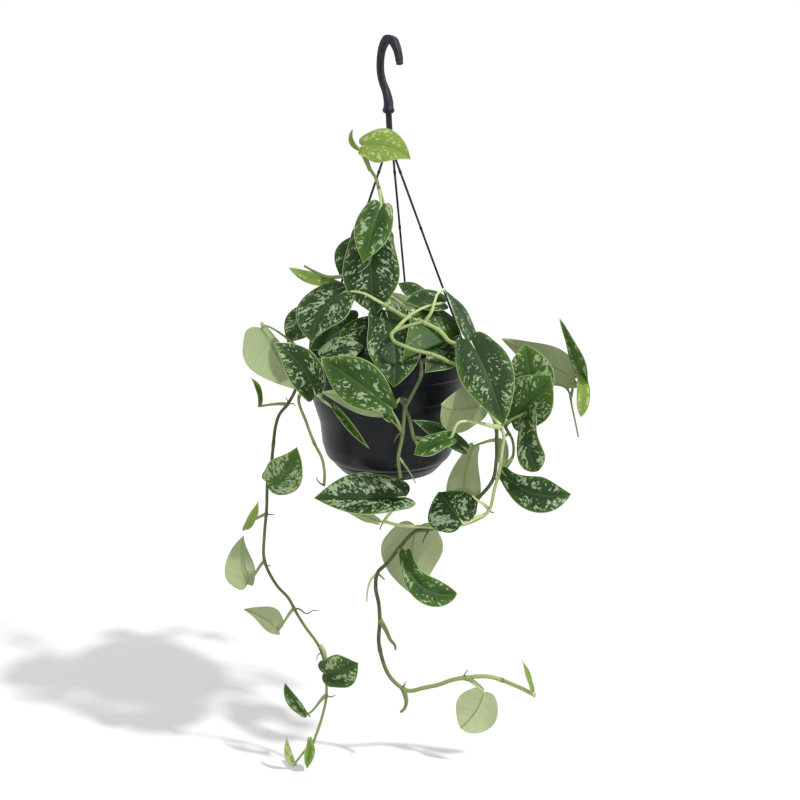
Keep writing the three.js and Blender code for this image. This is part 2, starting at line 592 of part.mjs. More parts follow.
    leaves: [
      [[103, -56, -361], [82, -50, -369], [73, -46, -447], [0.2, 0.9, 0.2],
        { wide: 0.43, full: 1.6, heel: 0.12, sway: -0.06 }],
      [[103, -57, -350], [132, -70, -331], [138, -84, -384], [-0.5, -0.87, 0.1],
        { wide: 0.46, full: 3.8, heel: 0.28, point: 0.7, twist: 60, sway: 0.07 }],
      [[36, -37, -459], [28, -26, -460], [31, -14, -543], [-0.1, 0.9, 0.2],
        { wide: 0.76, full: 0.95, sway: -0.06 }],
      [[12, -36, -481], [17, -44, -479], [67, -60, -516], [0.3, -0.85, 0.4],
        { wide: 0.43, full: 1.9, heel: 0.12, point: 0.65, fold: [25, 6], sway: 0.27 }],
      [[77, -34, -620], [98, -38, -634], [75, -30, -680], [0.2, 0.9, -0.3],
        { wide: 0.85, heel: 0.1, point: 0.52, arch: 20, sway: 0.07 }],
      [[150, -42, -635], [147, -44, -631], [134, -50, -591], [0.7, -0.6, 0.2],
        { wide: 0.2, full: 1.3, sway: -0.05 }],
    ],
  },
  {
    name: 'vine_right_leafy', radius: [1.5, 1.3],
    stems: [
      [[57, -1, SPROUT], [67, -4, -285], [77, -8, -281.5], [88, -20, -296], [99, -38, -325],
        [113, -46, -353], [119, -47, -364], [120, -47, -379], [113, -46, -393], [104, -45, -404]],
    ],
    leaves: [
      [[112, -46, -352], [117, -50, -343], [152, -58, -299], [0, -0.9, 0.4],
        { wide: 0.86, full: 1.35 }],
      [[112, -46, -350], [139, -44, -334], [129, -38, -272], [0, -0.9, 0.4],
        { wide: 0.72, full: 1.5 }],
      [[120, -47, -382], [109, -57, -392], [170, -84, -406], [0, -0.85, 0.5],
        { wide: 0.52, full: 1.6, heel: 0.12, sway: 0.18 }],
      [[115, -46, -358], [110, -40, -366], [111, -38, -400], [0.3, 0.9, 0.2], { wide: 0.35 }],
    ],
  },
  {
    name: 'vine_right_up', radius: [1.3, 0.9],
    stems: [
      [[55, 14, SPROUT], [66, 11, -285], [77, 8, -281.5], [94, -6, -294], [123, -20, -310],
        [152, -26, -313], [173, -24, -318], [180, -22, -339], [187, -22, -367]],
    ],
    leaves: [
      [[173, -24, -318], [181, -18, -309], [111, -6, -272], [0, 0.85, 0.5],
        { wide: 0.5, full: 0.85, sway: 0.04 }],
      [[173, -24, -318], [188, -28, -309], [162, -34, -249], [-0.8, -0.5, 0.2],
        { wide: 0.28, sway: 0.13 }],
      [[177, -24, -328], [185, -30, -301], [186, -34, -344], [0.5, -0.8, 0.2],
        { wide: 0.42, full: 2.2 }],
    ],
  },
  {
    name: 'vine_back_left', radius: [1.5, 1.2],
    stems: [
      [[-28, 42, SPROUT], [-34, 58, -285], [-39, 68, -281.5], [-46, 82, -292], [-50, 90, -315],
        [-48, 92, -345], [-42, 90, -375], [-38, 88, -398]],
    ],
    leaves: [
      [[-38, 66, -282], [-30, 74, -272], [-58, 112, -318], [-0.3, 0.85, 0.4]],
      [[-47, 84, -297], [-62, 96, -306], [-64, 104, -360], [-0.5, 0.85, 0.1]],
      [[-50, 90, -320], [-34, 98, -330], [-22, 112, -386], [0.3, 0.9, 0.2]],
      [[-42, 91, -372], [-54, 98, -378], [-50, 104, -428], [-0.2, 0.95, 0.2]],
    ],
  },
  {
    name: 'vine_back_right', radius: [1.5, 1.2],
    stems: [
      [[32, 44, SPROUT], [40, 57, -285], [46, 65, -281.5], [54, 78, -292], [58, 88, -315],
        [54, 92, -345], [46, 90, -375], [40, 88, -400]],
    ],
    leaves: [
      [[46, 65, -282], [44, 78, -272], [52, 116, -314], [0.1, 0.85, 0.5]],
      [[54, 78, -292], [72, 86, -300], [88, 98, -346], [0.5, 0.8, 0.2]],
      [[57, 90, -325], [42, 98, -332], [30, 108, -382], [-0.2, 0.95, 0.2]],
      [[50, 91, -362], [62, 97, -368], [60, 102, -416], [0.3, 0.95, 0.1]],
    ],
  },
];

// The point nearest to "place" on the middle lines of the stems.
function nearestOnStems(place, lines) {
  let best = null;
  for (const line of lines) {
    for (let i = 1; i < line.length; i += 1) {
      const piece = new THREE.Line3(line[i - 1], line[i]);
      const close = piece.closestPointToPoint(place, true, new THREE.Vector3());
      if (!best || close.distanceTo(place) < best.distanceTo(place)) best = close;
    }
  }
  return best;
}

function makeVine({ name, radius, stems, leaves }) {
  const lines = [];
  for (const route of stems) {
    const line = smooth(route.map(point), STEM_PITCH);
    const [x, y, z] = route[0];
    if (z === SPROUT) line.unshift(point([x, y, SOIL_TOP - STEM_SINK]));
    else line[0] = nearestOnStems(line[0], lines);
    lines.push(line);
  }
  const shapes = lines.map((line) => bar(line, radius[0], radius[1], STEM_SIDES));
  for (const [from, ...blade] of leaves) {
    shapes.push(makeLeaf(nearestOnStems(point(from), lines), ...blade));
  }
  return part(name, mainBody(join(shapes)), LEAF_GREEN);
}

// ---------------------------------------------------------------- assembly
const plant = new THREE.Group();
const soilHoles = VINES.flatMap(({ stems, radius }) => stems
  .filter(([first]) => first[2] === SPROUT)
  .map(([first]) => [first[0], first[1], radius[0]]));

plant.add(makePot(), makeSaucer(), makeSoil(soilHoles), makeHook());
for (const strand of STRANDS) plant.add(makeStrand(strand));
for (const vine of VINES) plant.add(makeVine(vine));

export default plant;
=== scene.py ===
"""Satin pothos (Scindapsus pictus) in a black hanging pot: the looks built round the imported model."""
import math

import bmesh
import bpy
import numpy as np
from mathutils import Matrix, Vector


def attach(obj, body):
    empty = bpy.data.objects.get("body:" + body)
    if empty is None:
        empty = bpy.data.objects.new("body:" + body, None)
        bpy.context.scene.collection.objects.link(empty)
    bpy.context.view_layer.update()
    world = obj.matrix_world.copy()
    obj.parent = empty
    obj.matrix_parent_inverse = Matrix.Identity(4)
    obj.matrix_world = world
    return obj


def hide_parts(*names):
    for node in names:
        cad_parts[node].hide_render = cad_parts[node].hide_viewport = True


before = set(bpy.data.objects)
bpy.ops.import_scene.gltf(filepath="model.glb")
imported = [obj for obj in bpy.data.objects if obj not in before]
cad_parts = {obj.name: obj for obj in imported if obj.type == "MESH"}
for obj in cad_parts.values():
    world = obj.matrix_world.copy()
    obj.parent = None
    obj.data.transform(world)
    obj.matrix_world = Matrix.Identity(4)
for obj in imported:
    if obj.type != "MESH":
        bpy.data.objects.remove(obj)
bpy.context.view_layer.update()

MM = 0.001                     # the tables below are in millimetres, Blender works in metres
BODY = "root"
STALK_SLOT, ROOT_SLOT = 0, 1   # the order of materials in a piece of stalks

# ---- driving sizes (mm)
RIM_TOP = -287
RIM_R = 78.4
POT_FOOT = -394
SAUCER_FOOT = -405
SOIL_TOP = -300
STEM_SINK = 10
HOOK_BAND = 5.4
HOOK_WIDTH = 6.4
HOOK_CROWN = 1.35              # how much thicker the band is over the top
HOOK_ROOT = 1.3                # and where it meets the collar
HOOK_TURN = -math.pi / 4
COLLAR_FOOT = -59
SPLIT_X, SPLIT_Z, SPLIT_R = 2.2, -90, 4.2
SOCKET_REACH = 2.5
STRAND_R = 1.1
NUB_R, NUB_SPAN, NUB_HEIGHTS = 1.6, 1.2, (-113.6, -165.8)
LUG_R = 81.5
STRANDS = {                    # direction of each strand's socket and of its lug, degrees
    "strand_right": (-80, -20),
    "strand_middle": (38, 74),
    "strand_left": (160, 214),
}
SPROUT = SOIL_TOP + 4          # height at which a stem's route starts, over its foot in the soil
FLOOR_Z = -725

# ---- leafy stems (mm)
# A leaf's shape: wide is its width in blade lengths, and outline_width tells of full, heel and point.
# arch bends it from sinus to tip, fold lifts its left and right half, cup curls them up, or down if it is
# below 0, and twist turns the tip, all in degrees. sway bows it sideways and wave ripples its rim, in
# blade lengths. young is how fresh its green is, silver how much of it is flecked, under how pale its
# underside is, wing how wide its stalk's sheath is, and via lists places that the stalk passes. A leaf
# that lies in shade behind others is given a low silver so that its few flecks leave it dark: painted
# shade.
PLAIN_LEAF = dict(
    full=1.1, heel=0.27, point=1.0, arch=35, fold=(12, 12), cup=-20, twist=0, sway=0, wave=0.012,
    young=0.0, silver=0.5, under=0.5, wing=1.0, via=(),
)
VINES = {}


def leaf(start, base, tip, face, wide=0.66, **shape):
    """A leaf: where its stalk leaves the stem, the blade's sinus and tip, its upper side and width."""
    return dict(PLAIN_LEAF, start=start, base=base, tip=tip, face=face, wide=wide, **shape)


def root(radius, *route):
    """An aerial root, with its radius at both ends."""
    return dict(slot=ROOT_SLOT, radius=radius, tone=0, route=route)


def sheath(radius, tone, *route):
    """An old sheath or another bare bit of stalk, with its radius at both ends."""
    return dict(slot=STALK_SLOT, radius=radius, tone=tone, route=route)


def vine(name, radius, tone, stems, leaves, trim=()):
    """A CAD node's stems and what grows on them: radius at both ends, and tones spread along each stem."""
    VINES[name] = dict(radius=radius, tone=tone, stems=stems, leaves=leaves, trim=trim)


vine("vine_top", radius=(2, 1.5), tone=(0.75, 0.65, 0.6), stems=[
    [(60, -24, SPROUT), (63, -33, -284), (67, -42, -276), (68, -52, -274), (68, -62, -280), (63, -69, -286),
     (56, -72, -284), (50, -76, -280), (38, -80, -275), (26, -87, -271), (14, -90, -266), (7, -88, -263),
     (4, -84, -259), (5, -79, -256), (16, -70, -252), (32, -60, -249)],
    [(68, -52, -274), (64, -57, -270), (56, -62, -266), (48, -63, -257), (32, -60, -249), (17, -58, -245),
     (6, -54, -239), (-3, -50, -234), (1, -43, -234), (0, -33, -231), (-5, -23, -223), (-1, -20, -197),
     (-2, -18, -172), (-4, -16, -144), (-8, -15, -130), (-11, -14, -120), (-16, -13, -112),
     (-20, -13, -101), (-25, -13, -92)],
], leaves=[
    leaf((-20, -13, -101), (-23, -16, -91), (21, -26, -103), (0.1, -0.9, 0.4), 0.8,
         fold=(8, 15), sway=-0.08, young=1, silver=0.6),
    leaf((-25, -13, -93), (-26, -14, -93), (-32, -18, -76), (-0.5, -0.8, 0), 0.6,
         fold=(5, 60), sway=-0.15, young=1, silver=0.2),
    leaf((-8, -15, -130), (-6, -32, -145), (-22, -54, -196), (-0.1, -0.95, 0.25), 0.6,
         full=1.2, young=0.25, silver=0.6),
    leaf((-2, -18, -170), (-13, -26, -167), (-11, -46, -244), (0, -0.95, 0.2), 0.67, full=1.7, sway=0.04),
    leaf((-2, -19, -180), (-24, -30, -179), (-43, -38, -212), (-0.2, -0.8, 0.5), 0.98),
    leaf((-5, -24, -223), (-41, -16, -218), (-92, -36, -201), (0, -0.85, 0.5), 0.4,
         full=1.9, point=0.7, fold=(0, -58), young=0.8),
    leaf((-4, -50, -234), (-40, -42, -223), (-68, -74, -266), (-0.3, -0.75, 0.6), 0.9,
         via=[(-11, -54, -229), (-20, -54, -224), (-30, -50, -222)], full=1.2, sway=0.1),
    leaf((16, -58, -254), (36, 8, -236), (9, 20, -220), (0, -0.6, 0.8), silver=0.35),
    leaf((5, -79, -255), (53, -36, -234), (16, -40, -233), (0, -0.5, 0.87), 0.95,
         via=[(20, -70, -242), (32, -62, -236), (43, -50, -234)], silver=0.3),
    leaf((31, -60, -248), (-1, 2, -231), (31, -10, -241), (0, 0.8, -0.5), 0.46, under=0.3),
    leaf((34, -60, -249), (52, -37, -221), (82, -47, -276), (0.9, -0.42, 0.1), 0.6,
         via=[(40, -61, -240), (43, -58, -231), (46, -52, -224), (50, -46, -222)], full=1.7, heel=0.06,
         fold=(5, 5)),
    leaf((65, -50, -275), (68, -44, -263), (14, -86, -280), (-0.1, -0.95, 0.3), 1.2,
         full=0.9, fold=(-82, 2), young=0.3, silver=0.3),
    leaf((61, -30, -289), (62, -44, -274), (34, -84, -292), (0, -0.9, 0.4), 0.62),
    leaf((2, -52, -238), (-2, -41, -241), (6, -90, -304), (0.05, -0.8, 0.6), 0.62,
         full=1.6, sway=-0.05, silver=0.45),
    leaf((-3, -50, -234), (-12, -34, -248), (-35, -60, -295), (-0.05, -0.85, 0.5), 0.8,
         full=0.95, heel=0.06),
], trim=[
    sheath((2.4, 1.9), 0.5, (-24, -16, -94), (-20, -18, -104), (-16, -17, -113)),
    sheath((1, 2), 0.25, (-77, -42, -199), (-70, -42, -203), (-56, -43, -209), (-45, -44, -209),
           (-41, -42, -208)),
])

vine("vine_left_long", radius=(1.6, 1.4), tone=(0.1, 0.1, 0.15, 0.25, 0.45), stems=[
    [(-55, -14, SPROUT), (-64, -18, -285), (-75, -22, -281.5), (-84, -32, -290), (-87, -48, -314),
     (-94, -54, -327), (-102, -55, -337), (-106, -55, -349), (-109, -54, -369), (-112, -52, -390),
     (-116, -50, -407), (-118, -48, -433), (-121, -47, -459), (-122, -46, -487), (-111, -45, -513),
     (-100, -44, -527), (-92, -43, -544), (-84, -42, -559), (-71, -40, -581), (-65, -38, -603),
     (-64, -37, -628), (-65, -36, -644), (-70, -35, -666), (-79, -34, -694)],
], leaves=[
    leaf((-75, -22, -282), (-73, -12, -245), (-97, -22, -274), (-0.3, -0.8, 0.5), 0.95,
         young=0.1, silver=0.7),
    leaf((-78, -26, -284), (-119, -36, -258), (-84, -58, -312), (-0.5, 0.6, 0.5), 0.86,
         full=0.95, fold=(5, 70)),
    leaf((-94, -54, -327), (-119, -62, -326), (-126, -68, -299), (0.8, -0.5, 0.3), 0.3,
         sway=0.1, young=0.4, silver=0.9),
    leaf((-116, -50, -407), (-113, -56, -404), (-84, -76, -363), (0.1, -0.9, 0.4), 0.68,
         full=1.25, sway=0.13, young=0.4, silver=1),
    leaf((-119, -48, -438), (-138, -50, -452), (-124, -58, -421), (0.7, -0.6, 0.3), 0.38,
         sway=-0.06, young=1, silver=0.9),
    leaf((-122, -46, -487), (-140, -44, -511), (-144, -34, -465), (-0.2, 0.9, 0.3), 0.78,
         full=0.75, fold=(60, 12), sway=0.08),
    leaf((-93, -44, -539), (-112, -40, -562), (-147, -30, -546), (0, 0.95, 0.2), 0.76,
         full=0.8, heel=0.3, fold=(30, 25), under=0.7),
    leaf((-66, -38, -598), (-66, -46, -608), (-30, -60, -589), (0.1, -0.9, 0.2), 0.84,
         full=1.8, heel=0.3, sway=0.04, young=0.2),
    leaf((-64, -37, -639), (-86, -30, -664), (-108, -28, -629), (-0.5, -0.6, 0.6), 0.48,
         full=1.6, fold=(8, 45), young=0.3, silver=0.9, wing=1.6),
    leaf((-79, -34, -694), (-100, -36, -719), (-106, -38, -684), (0, -0.6, 0.8), 0.24,
         sway=-0.08, young=1, silver=2.5),
    leaf((-79, -34, -694), (-83, -36, -688), (-86, -40, -720), (0.6, -0.7, 0.2), 0.42,
         full=1.3, heel=0.16, young=0.6, silver=0.9),
], trim=[
    root((0.7, 0.35), (-93, -54, -326), (-94, -56, -323), (-95, -57, -320)),
    root((0.7, 0.35), (-91, -54, -327), (-89, -56, -326), (-86, -57, -328)),
    root((0.8, 0.4), (-118, -50, -437), (-114, -52, -437), (-110, -52, -437)),
    root((0.8, 0.5), (-120, -48, -492), (-118, -49, -491), (-116, -50, -490)),
    root((0.9, 0.4), (-92, -45, -538), (-88, -47, -538), (-84, -48, -541), (-80, -48, -542),
         (-76, -48, -539), (-70, -47, -539)),
    root((0.8, 0.4), (-64, -38, -638), (-59, -40, -638), (-55, -40, -636)),
    root((0.6, 0.3), (-69, -42, -588), (-72, -44, -590), (-73, -44, -595)),
    sheath((2.2, 1.4), 0.7, (-69, -43, -579), (-65, -44, -585), (-63, -45, -593)),
])

vine("vine_left_short", radius=(1.4, 1.4), tone=(0.5, 0.45), stems=[
    [(-40, -32, SPROUT), (-50, -44, -284), (-58, -52, -280), (-66, -57, -289), (-76, -58, -308),
     (-83, -59, -321), (-76, -62, -343), (-69, -64, -362), (-62, -62, -378), (-60, -60, -394),
     (-61, -58, -406)],
], leaves=[
    leaf((-50, -44, -285), (-60, -60, -282), (-22, -58, -272), (0, -0.8, 0.6), 0.75, full=1.3, silver=1.25),
    leaf((-81, -59, -318), (-67, -70, -314), (-101, -86, -264), (0.1, -0.85, 0.5), 0.55,
         full=1.15, sway=0.08, silver=0.6),
    leaf((-77, -58, -310), (-48, -81, -324), (-17, -84, -362), (0, -0.95, 0.1), 0.2,
         fold=(45, 55), young=0.15, silver=1.4, wing=2.4),
    # painted shade: this leaf lies in shade behind the others, and its low silver leaves it few flecks to
    # keep it dark
    leaf((-50, -44, -285), (-29, -29, -250), (-73, -55, -276), (0, -1, 0.1), 0.52, silver=0.2),
], trim=[
    root((0.9, 0.4), (-61, -59, -405), (-65, -61, -402), (-68, -61, -397)),
    sheath((1.4, 1), 0.85, (-50, -45, -283), (-55, -47, -272), (-58, -48, -262)),
])

vine("vine_front", radius=(1.7, 1.6), tone=(0, 0.05, 0.25, 0.35), stems=[
    [(26, -52, SPROUT), (28, -66, -284), (30, -78, -281.5), (30, -88, -294), (20, -90, -315),
     (16, -90, -323), (15, -90, -334), (13, -88, -353), (10, -86, -370), (12, -84, -390)],
    [(11, -90, -313), (16, -90, -323), (20, -88, -334), (24, -86, -351), (29, -84, -361)],
], leaves=[
    leaf((11, -90, -313), (4, -100, -321), (-59, -88, -278), (0.1, -0.98, 0.15), 0.54,
         heel=0.12, sway=0.02, young=0.2),
    leaf((13, -88, -346), (4, -90, -334), (-6, -92, -327), (0, -0.8, 0.5), 0.6),
    leaf((13, -88, -346), (3, -86, -325), (-60, -76, -311), (0, 0.95, -0.1), 0.36, silver=0.3, under=0.3),
    leaf((24, -86, -351), (72, -70, -366), (22, -80, -336), (0, -0.8, 0.6), 0.3),
], trim=[
    root((0.8, 0.4), (12, -89, -346), (8, -91, -350), (6, -91, -355)),
    sheath((1.3, 0.5), 0.6, (11, -88, -370), (15, -90, -375), (20, -91, -382), (26, -91, -393)),
])

vine("vine_right_light", radius=(1.6, 1.6), tone=(0.8, 0.85, 0.8), stems=[
    [(50, -36, SPROUT), (58, -41, -285), (68, -46, -281.5), (80, -54, -294), (95, -64, -332),
     (108, -66, -353), (107, -66, -368), (105, -66, -389), (101, -65, -407), (96, -64, -429),
     (86, -62, -438), (72, -58, -445), (50, -54, -449), (34, -50, -450), (9, -48, -449), (-4, -46, -446)],
], leaves=[
    leaf((78, -53, -292), (76, -66, -266), (104, -98, -337), (0.1, -0.95, 0.3), 0.6,
         sway=-0.02, young=0.05, silver=0.3),
    leaf((95, -64, -332), (88, -66, -326), (48, -104, -317), (-0.7, 0.7, 0.2), 0.84,
         sway=0.1, young=0.25, under=0.35),
    leaf((92, -63, -434), (70, -74, -436), (50, -36, -419), (0, -0.6, 0.8), 1.15,
         full=1, fold=(-10, 12), sway=-0.04),
    leaf((-4, -46, -446), (16, -62, -416), (-69, -80, -411), (0, -0.85, 0.5), 0.58,
         full=1.4, fold=(50, 5), sway=-0.02, silver=0.8),
    leaf((-4, -46, -446), (-10, -50, -445), (-41, -56, -432), (0, 0.9, 0.2), 0.35),
    leaf((102, -65, -348), (58, -94, -349), (24, -98, -364), (-0.1, -0.7, 0.7), 0.56,
         via=[(64, -96, -335)], full=1.8, young=0.2, silver=0.7, wing=2.2),
], trim=[
    root((0.8, 0.5), (96, -62, -429), (98, -64, -430), (101, -64, -431)),
    root((0.7, 0.5), (-5, -46, -447), (-7, -48, -450), (-8, -48, -454)),
    sheath((1.9, 0.7), 0.85, (96, -62, -428), (90, -65, -421), (84, -67, -417), (80, -67, -413)),
])

vine("vine_right_dark", radius=(1.6, 2.2), tone=(0.1, 0.1, 0.15, 0.15, 0.1, 0.2, 0.6, 0.8), stems=[
    [(42, -46, SPROUT), (48, -56, -285), (54, -61, -281.5), (66, -66, -294), (84, -60, -320),
     (97, -56, -336), (102, -56, -348), (103, -56, -366), (103, -56, -382), (100, -54, -402),
     (87, -50, -421), (68, -44, -443), (41, -38, -457), (27, -36, -460), (-2, -34, -495), (-11, -33, -505),
     (-13, -32, -522), (-10, -32, -539), (-9, -32, -557), (-10, -31, -584), (0, -30, -619), (14, -30, -634),
     (22, -30, -637), (36, -31, -633), (51, -32, -629), (65, -33, -623), (77, -34, -620), (103, -37, -617),
     (129, -40, -625), (150, -42, -635)],
], leaves=[
    leaf((103, -56, -361), (82, -50, -369), (73, -46, -447), (0.2, 0.9, 0.2), 0.43,
         full=1.6, heel=0.12, sway=-0.06, under=0.4),
    leaf((103, -57, -350), (132, -70, -331), (138, -84, -384), (-0.5, -0.87, 0.1), 0.46,
         full=3.8, heel=0.28, point=0.7, twist=60, sway=0.07, young=0.1, silver=0.9),
    leaf((36, -37, -459), (28, -26, -460), (31, -14, -543), (-0.1, 0.9, 0.2), 0.76, full=0.95, sway=-0.06),
    leaf((12, -36, -481), (17, -44, -479), (67, -60, -516), (0.3, -0.85, 0.4), 0.43,
         full=1.9, heel=0.12, point=0.65, fold=(25, 6), sway=0.27, young=0.2, silver=0.6, wing=2.2),
    leaf((77, -34, -620), (98, -38, -634), (75, -30, -680), (0.2, 0.9, -0.3), 0.85,
         heel=0.1, point=0.52, arch=20, sway=0.07, under=1.25),
    leaf((150, -42, -635), (147, -44, -631), (134, -50, -591), (0.7, -0.6, 0.2), 0.2,
         full=1.3, sway=-0.05, young=1),
], trim=[
    sheath((1.4, 0.7), 0.85, (-11, -32, -506), (-17, -34, -511), (-21, -35, -522), (-22, -35, -535)),
    root((1, 0.6), (-11, -32, -506), (-7, -34, -509), (-4, -34, -512)),
    sheath((2.8, 1.2), 0.35, (-9, -32, -556), (-3, -35, -566), (2, -36, -577), (6, -36, -582),
           (7, -34, -588)),
    sheath((3, 1.3), 0.3, (14, -30, -633), (17, -32, -641), (18, -33, -649), (16, -34, -655),
           (12, -34, -659)),
    root((1, 0.5), (14, -30, -634), (16, -32, -629), (18, -32, -625)),
    root((0.8, 0.4), (76, -34, -620), (79, -36, -613), (81, -36, -610)),
    root((0.9, 0.5), (40, -38, -458), (36, -41, -464), (34, -41, -470)),
    sheath((2.4, 1.6), 0.42, (77, -34, -620), (85, -36, -622), (93, -38, -627), (97, -38, -632)),
])

vine("vine_right_leafy", radius=(1.5, 1.3), tone=(0.3, 0.2), stems=[
    [(57, -1, SPROUT), (67, -4, -285), (77, -8, -281.5), (88, -20, -296), (99, -38, -325), (113, -46, -353),
     (119, -47, -364), (120, -47, -379), (113, -46, -393), (104, -45, -404)],
], leaves=[
    leaf((112, -46, -352), (117, -50, -343), (152, -58, -299), (0, -0.9, 0.4), 0.86, full=1.35, young=0.3),
    leaf((112, -46, -350), (139, -44, -334), (129, -38, -272), (0, -0.9, 0.4), 0.72, full=1.5, young=0.3),
    leaf((120, -47, -382), (109, -57, -392), (170, -84, -406), (0, -0.85, 0.5), 0.52,
         full=1.6, heel=0.12, sway=0.18, silver=0.6),
    leaf((115, -46, -358), (110, -40, -366), (111, -38, -400), (0.3, 0.9, 0.2), 0.35),
])

vine("vine_right_up", radius=(1.3, 0.9), tone=(0.3, 0.5), stems=[
    [(55, 14, SPROUT), (66, 11, -285), (77, 8, -281.5), (94, -6, -294), (123, -20, -310), (152, -26, -313),
     (173, -24, -318), (180, -22, -339), (187, -22, -367)],
], leaves=[
    leaf((173, -24, -318), (181, -18, -309), (111, -6, -272), (0, 0.85, 0.5), 0.5,
         full=0.85, sway=0.04, under=0.6),
    leaf((173, -24, -318), (188, -28, -309), (162, -34, -249), (-0.8, -0.5, 0.2), 0.28,
         sway=0.13, young=0.35, silver=0.9),
    leaf((177, -24, -328), (185, -30, -301), (186, -34, -344), (0.5, -0.8, 0.2), 0.42,
         full=2.2, young=0.9, silver=0.6),
])

vine("vine_back_left", radius=(1.5, 1.2), tone=(0.3, 0.6), stems=[
    [(-28, 42, SPROUT), (-34, 58, -285), (-39, 68, -281.5), (-46, 82, -292), (-50, 90, -315),
     (-48, 92, -345), (-42, 90, -375), (-38, 88, -398)],
], leaves=[
    leaf((-38, 66, -282), (-30, 74, -272), (-58, 112, -318), (-0.3, 0.85, 0.4)),
    leaf((-47, 84, -297), (-62, 96, -306), (-64, 104, -360), (-0.5, 0.85, 0.1)),
    leaf((-50, 90, -320), (-34, 98, -330), (-22, 112, -386), (0.3, 0.9, 0.2)),
    leaf((-42, 91, -372), (-54, 98, -378), (-50, 104, -428), (-0.2, 0.95, 0.2)),
])

vine("vine_back_right", radius=(1.5, 1.2), tone=(0.3, 0.6), stems=[
    [(32, 44, SPROUT), (40, 57, -285), (46, 65, -281.5), (54, 78, -292), (58, 88, -315), (54, 92, -345),
     (46, 90, -375), (40, 88, -400)],
], leaves=[
    leaf((46, 65, -282), (44, 78, -272), (52, 116, -314), (0.1, 0.85, 0.5)),
    leaf((54, 78, -292), (72, 86, -300), (88, 98, -346), (0.5, 0.8, 0.2)),
    leaf((57, 90, -325), (42, 98, -332), (30, 108, -382), (-0.2, 0.95, 0.2)),
    leaf((50, 91, -362), (62, 97, -368), (60, 102, -416), (0.3, 0.95, 0.1)),
])


# ---- shader helpers
class Nodes:
    """A short way to write a material's node tree."""

    def __init__(self, name):
        self.material = bpy.data.materials.new(name)
        self.material.use_nodes = True
        self.tree = self.material.node_tree
        self.shader = self.tree.nodes["Principled BSDF"]

    def add(self, kind, **settings):
        node = self.tree.nodes.new(kind)
        for key, value in settings.items():
            setattr(node, key, value)
        return node

    def link(self, source, target):
        self.tree.links.new(source, target)

    def put(self, value, socket):
        """Links or sets a socket; a text is an sRGB hex colour."""
        if isinstance(value, bpy.types.NodeSocket):
            self.link(value, socket)
        else:
            socket.default_value = rgb(value) if isinstance(value, str) else value

    def math(self, operation, a, b=0.0, c=0.0):
        node = self.add("ShaderNodeMath", operation=operation)
        for value, socket in zip((a, b, c), node.inputs):
            self.put(value, socket)
        return node.outputs[0]

    def plus(self, a, b):
        return self.math("ADD", a, b)

    def times(self, a, b, plus=0.0):
        """a times b, with plus added to it."""
        return self.math("MULTIPLY_ADD", a, b, plus)

    def ramp(self, value, low, high, to_low=0.0, to_high=1.0):
        """Maps low..high to to_low..to_high with soft ends."""
        node = self.add("ShaderNodeMapRange", interpolation_type="SMOOTHSTEP")
        self.put(value, node.inputs[0])
        for socket, number in zip(node.inputs[1:5], (low, high, to_low, to_high)):
            self.put(number, socket)
        return node.outputs[0]

    def mix(self, factor, a, b):
        node = self.add("ShaderNodeMix", data_type="RGBA")
        self.put(factor, node.inputs["Factor"])
        self.put(a, node.inputs[6])
        self.put(b, node.inputs[7])
        return node.outputs[2]

    def number(self, name, output="Fac"):
        """A point attribute of the mesh."""
        return self.add("ShaderNodeAttribute", attribute_name=name).outputs[output]

    def vector(self, name):
        return self.number(name, "Vector")

    def object_place(self):
        return self.add("ShaderNodeTexCoord").outputs["Object"]

    def scaled(self, vector, x, y, z):
        node = self.add("ShaderNodeVectorMath", operation="MULTIPLY")
        self.put(vector, node.inputs[0])
        node.inputs[1].default_value = (x, y, z)
        return node.outputs[0]

    def noise(self, vector, scale, detail=2.0, rough=0.5, distortion=0.0):
        node = self.add("ShaderNodeTexNoise")
        self.put(vector, node.inputs["Vector"])
        settings = dict(Scale=scale, Detail=detail, Roughness=rough, Distortion=distortion)
        for key, value in settings.items():
            node.inputs[key].default_value = value
        return node.outputs["Fac"]

    def specks(self, vector, scale):
        """Distance to the nearest of scattered points."""
        node = self.add("ShaderNodeTexVoronoi")
        self.put(vector, node.inputs["Vector"])
        node.inputs["Scale"].default_value = scale
        return node.outputs["Distance"]

    def bump(self, height, distance, strength=1.0):
        node = self.add("ShaderNodeBump")
        node.inputs["Strength"].default_value = strength
        node.inputs["Distance"].default_value = distance
        self.put(height, node.inputs["Height"])
        self.link(node.outputs["Normal"], self.shader.inputs["Normal"])

    def finish(self, colour, roughness, **constants):
        self.put(colour, self.shader.inputs["Base Color"])
        self.put(roughness, self.shader.inputs["Roughness"])
        for key, value in constants.items():
            self.shader.inputs[key.replace("_", " ")].default_value = value
        return self.material


def rgb(text):
    """Blender's linear colour for an sRGB hex colour."""
    parts = [int(text[i:i + 2], 16) / 255 for i in (1, 3, 5)]
    linear = [c / 12.92 if c <= 0.04045 else ((c + 0.055) / 1.055) ** 2.4 for c in parts]
    return (*linear, 1.0)


# ---- materials
FLECK_VEINS, UNDER_VEINS = 5.5, 8      # mm from one side vein to the next, above and below


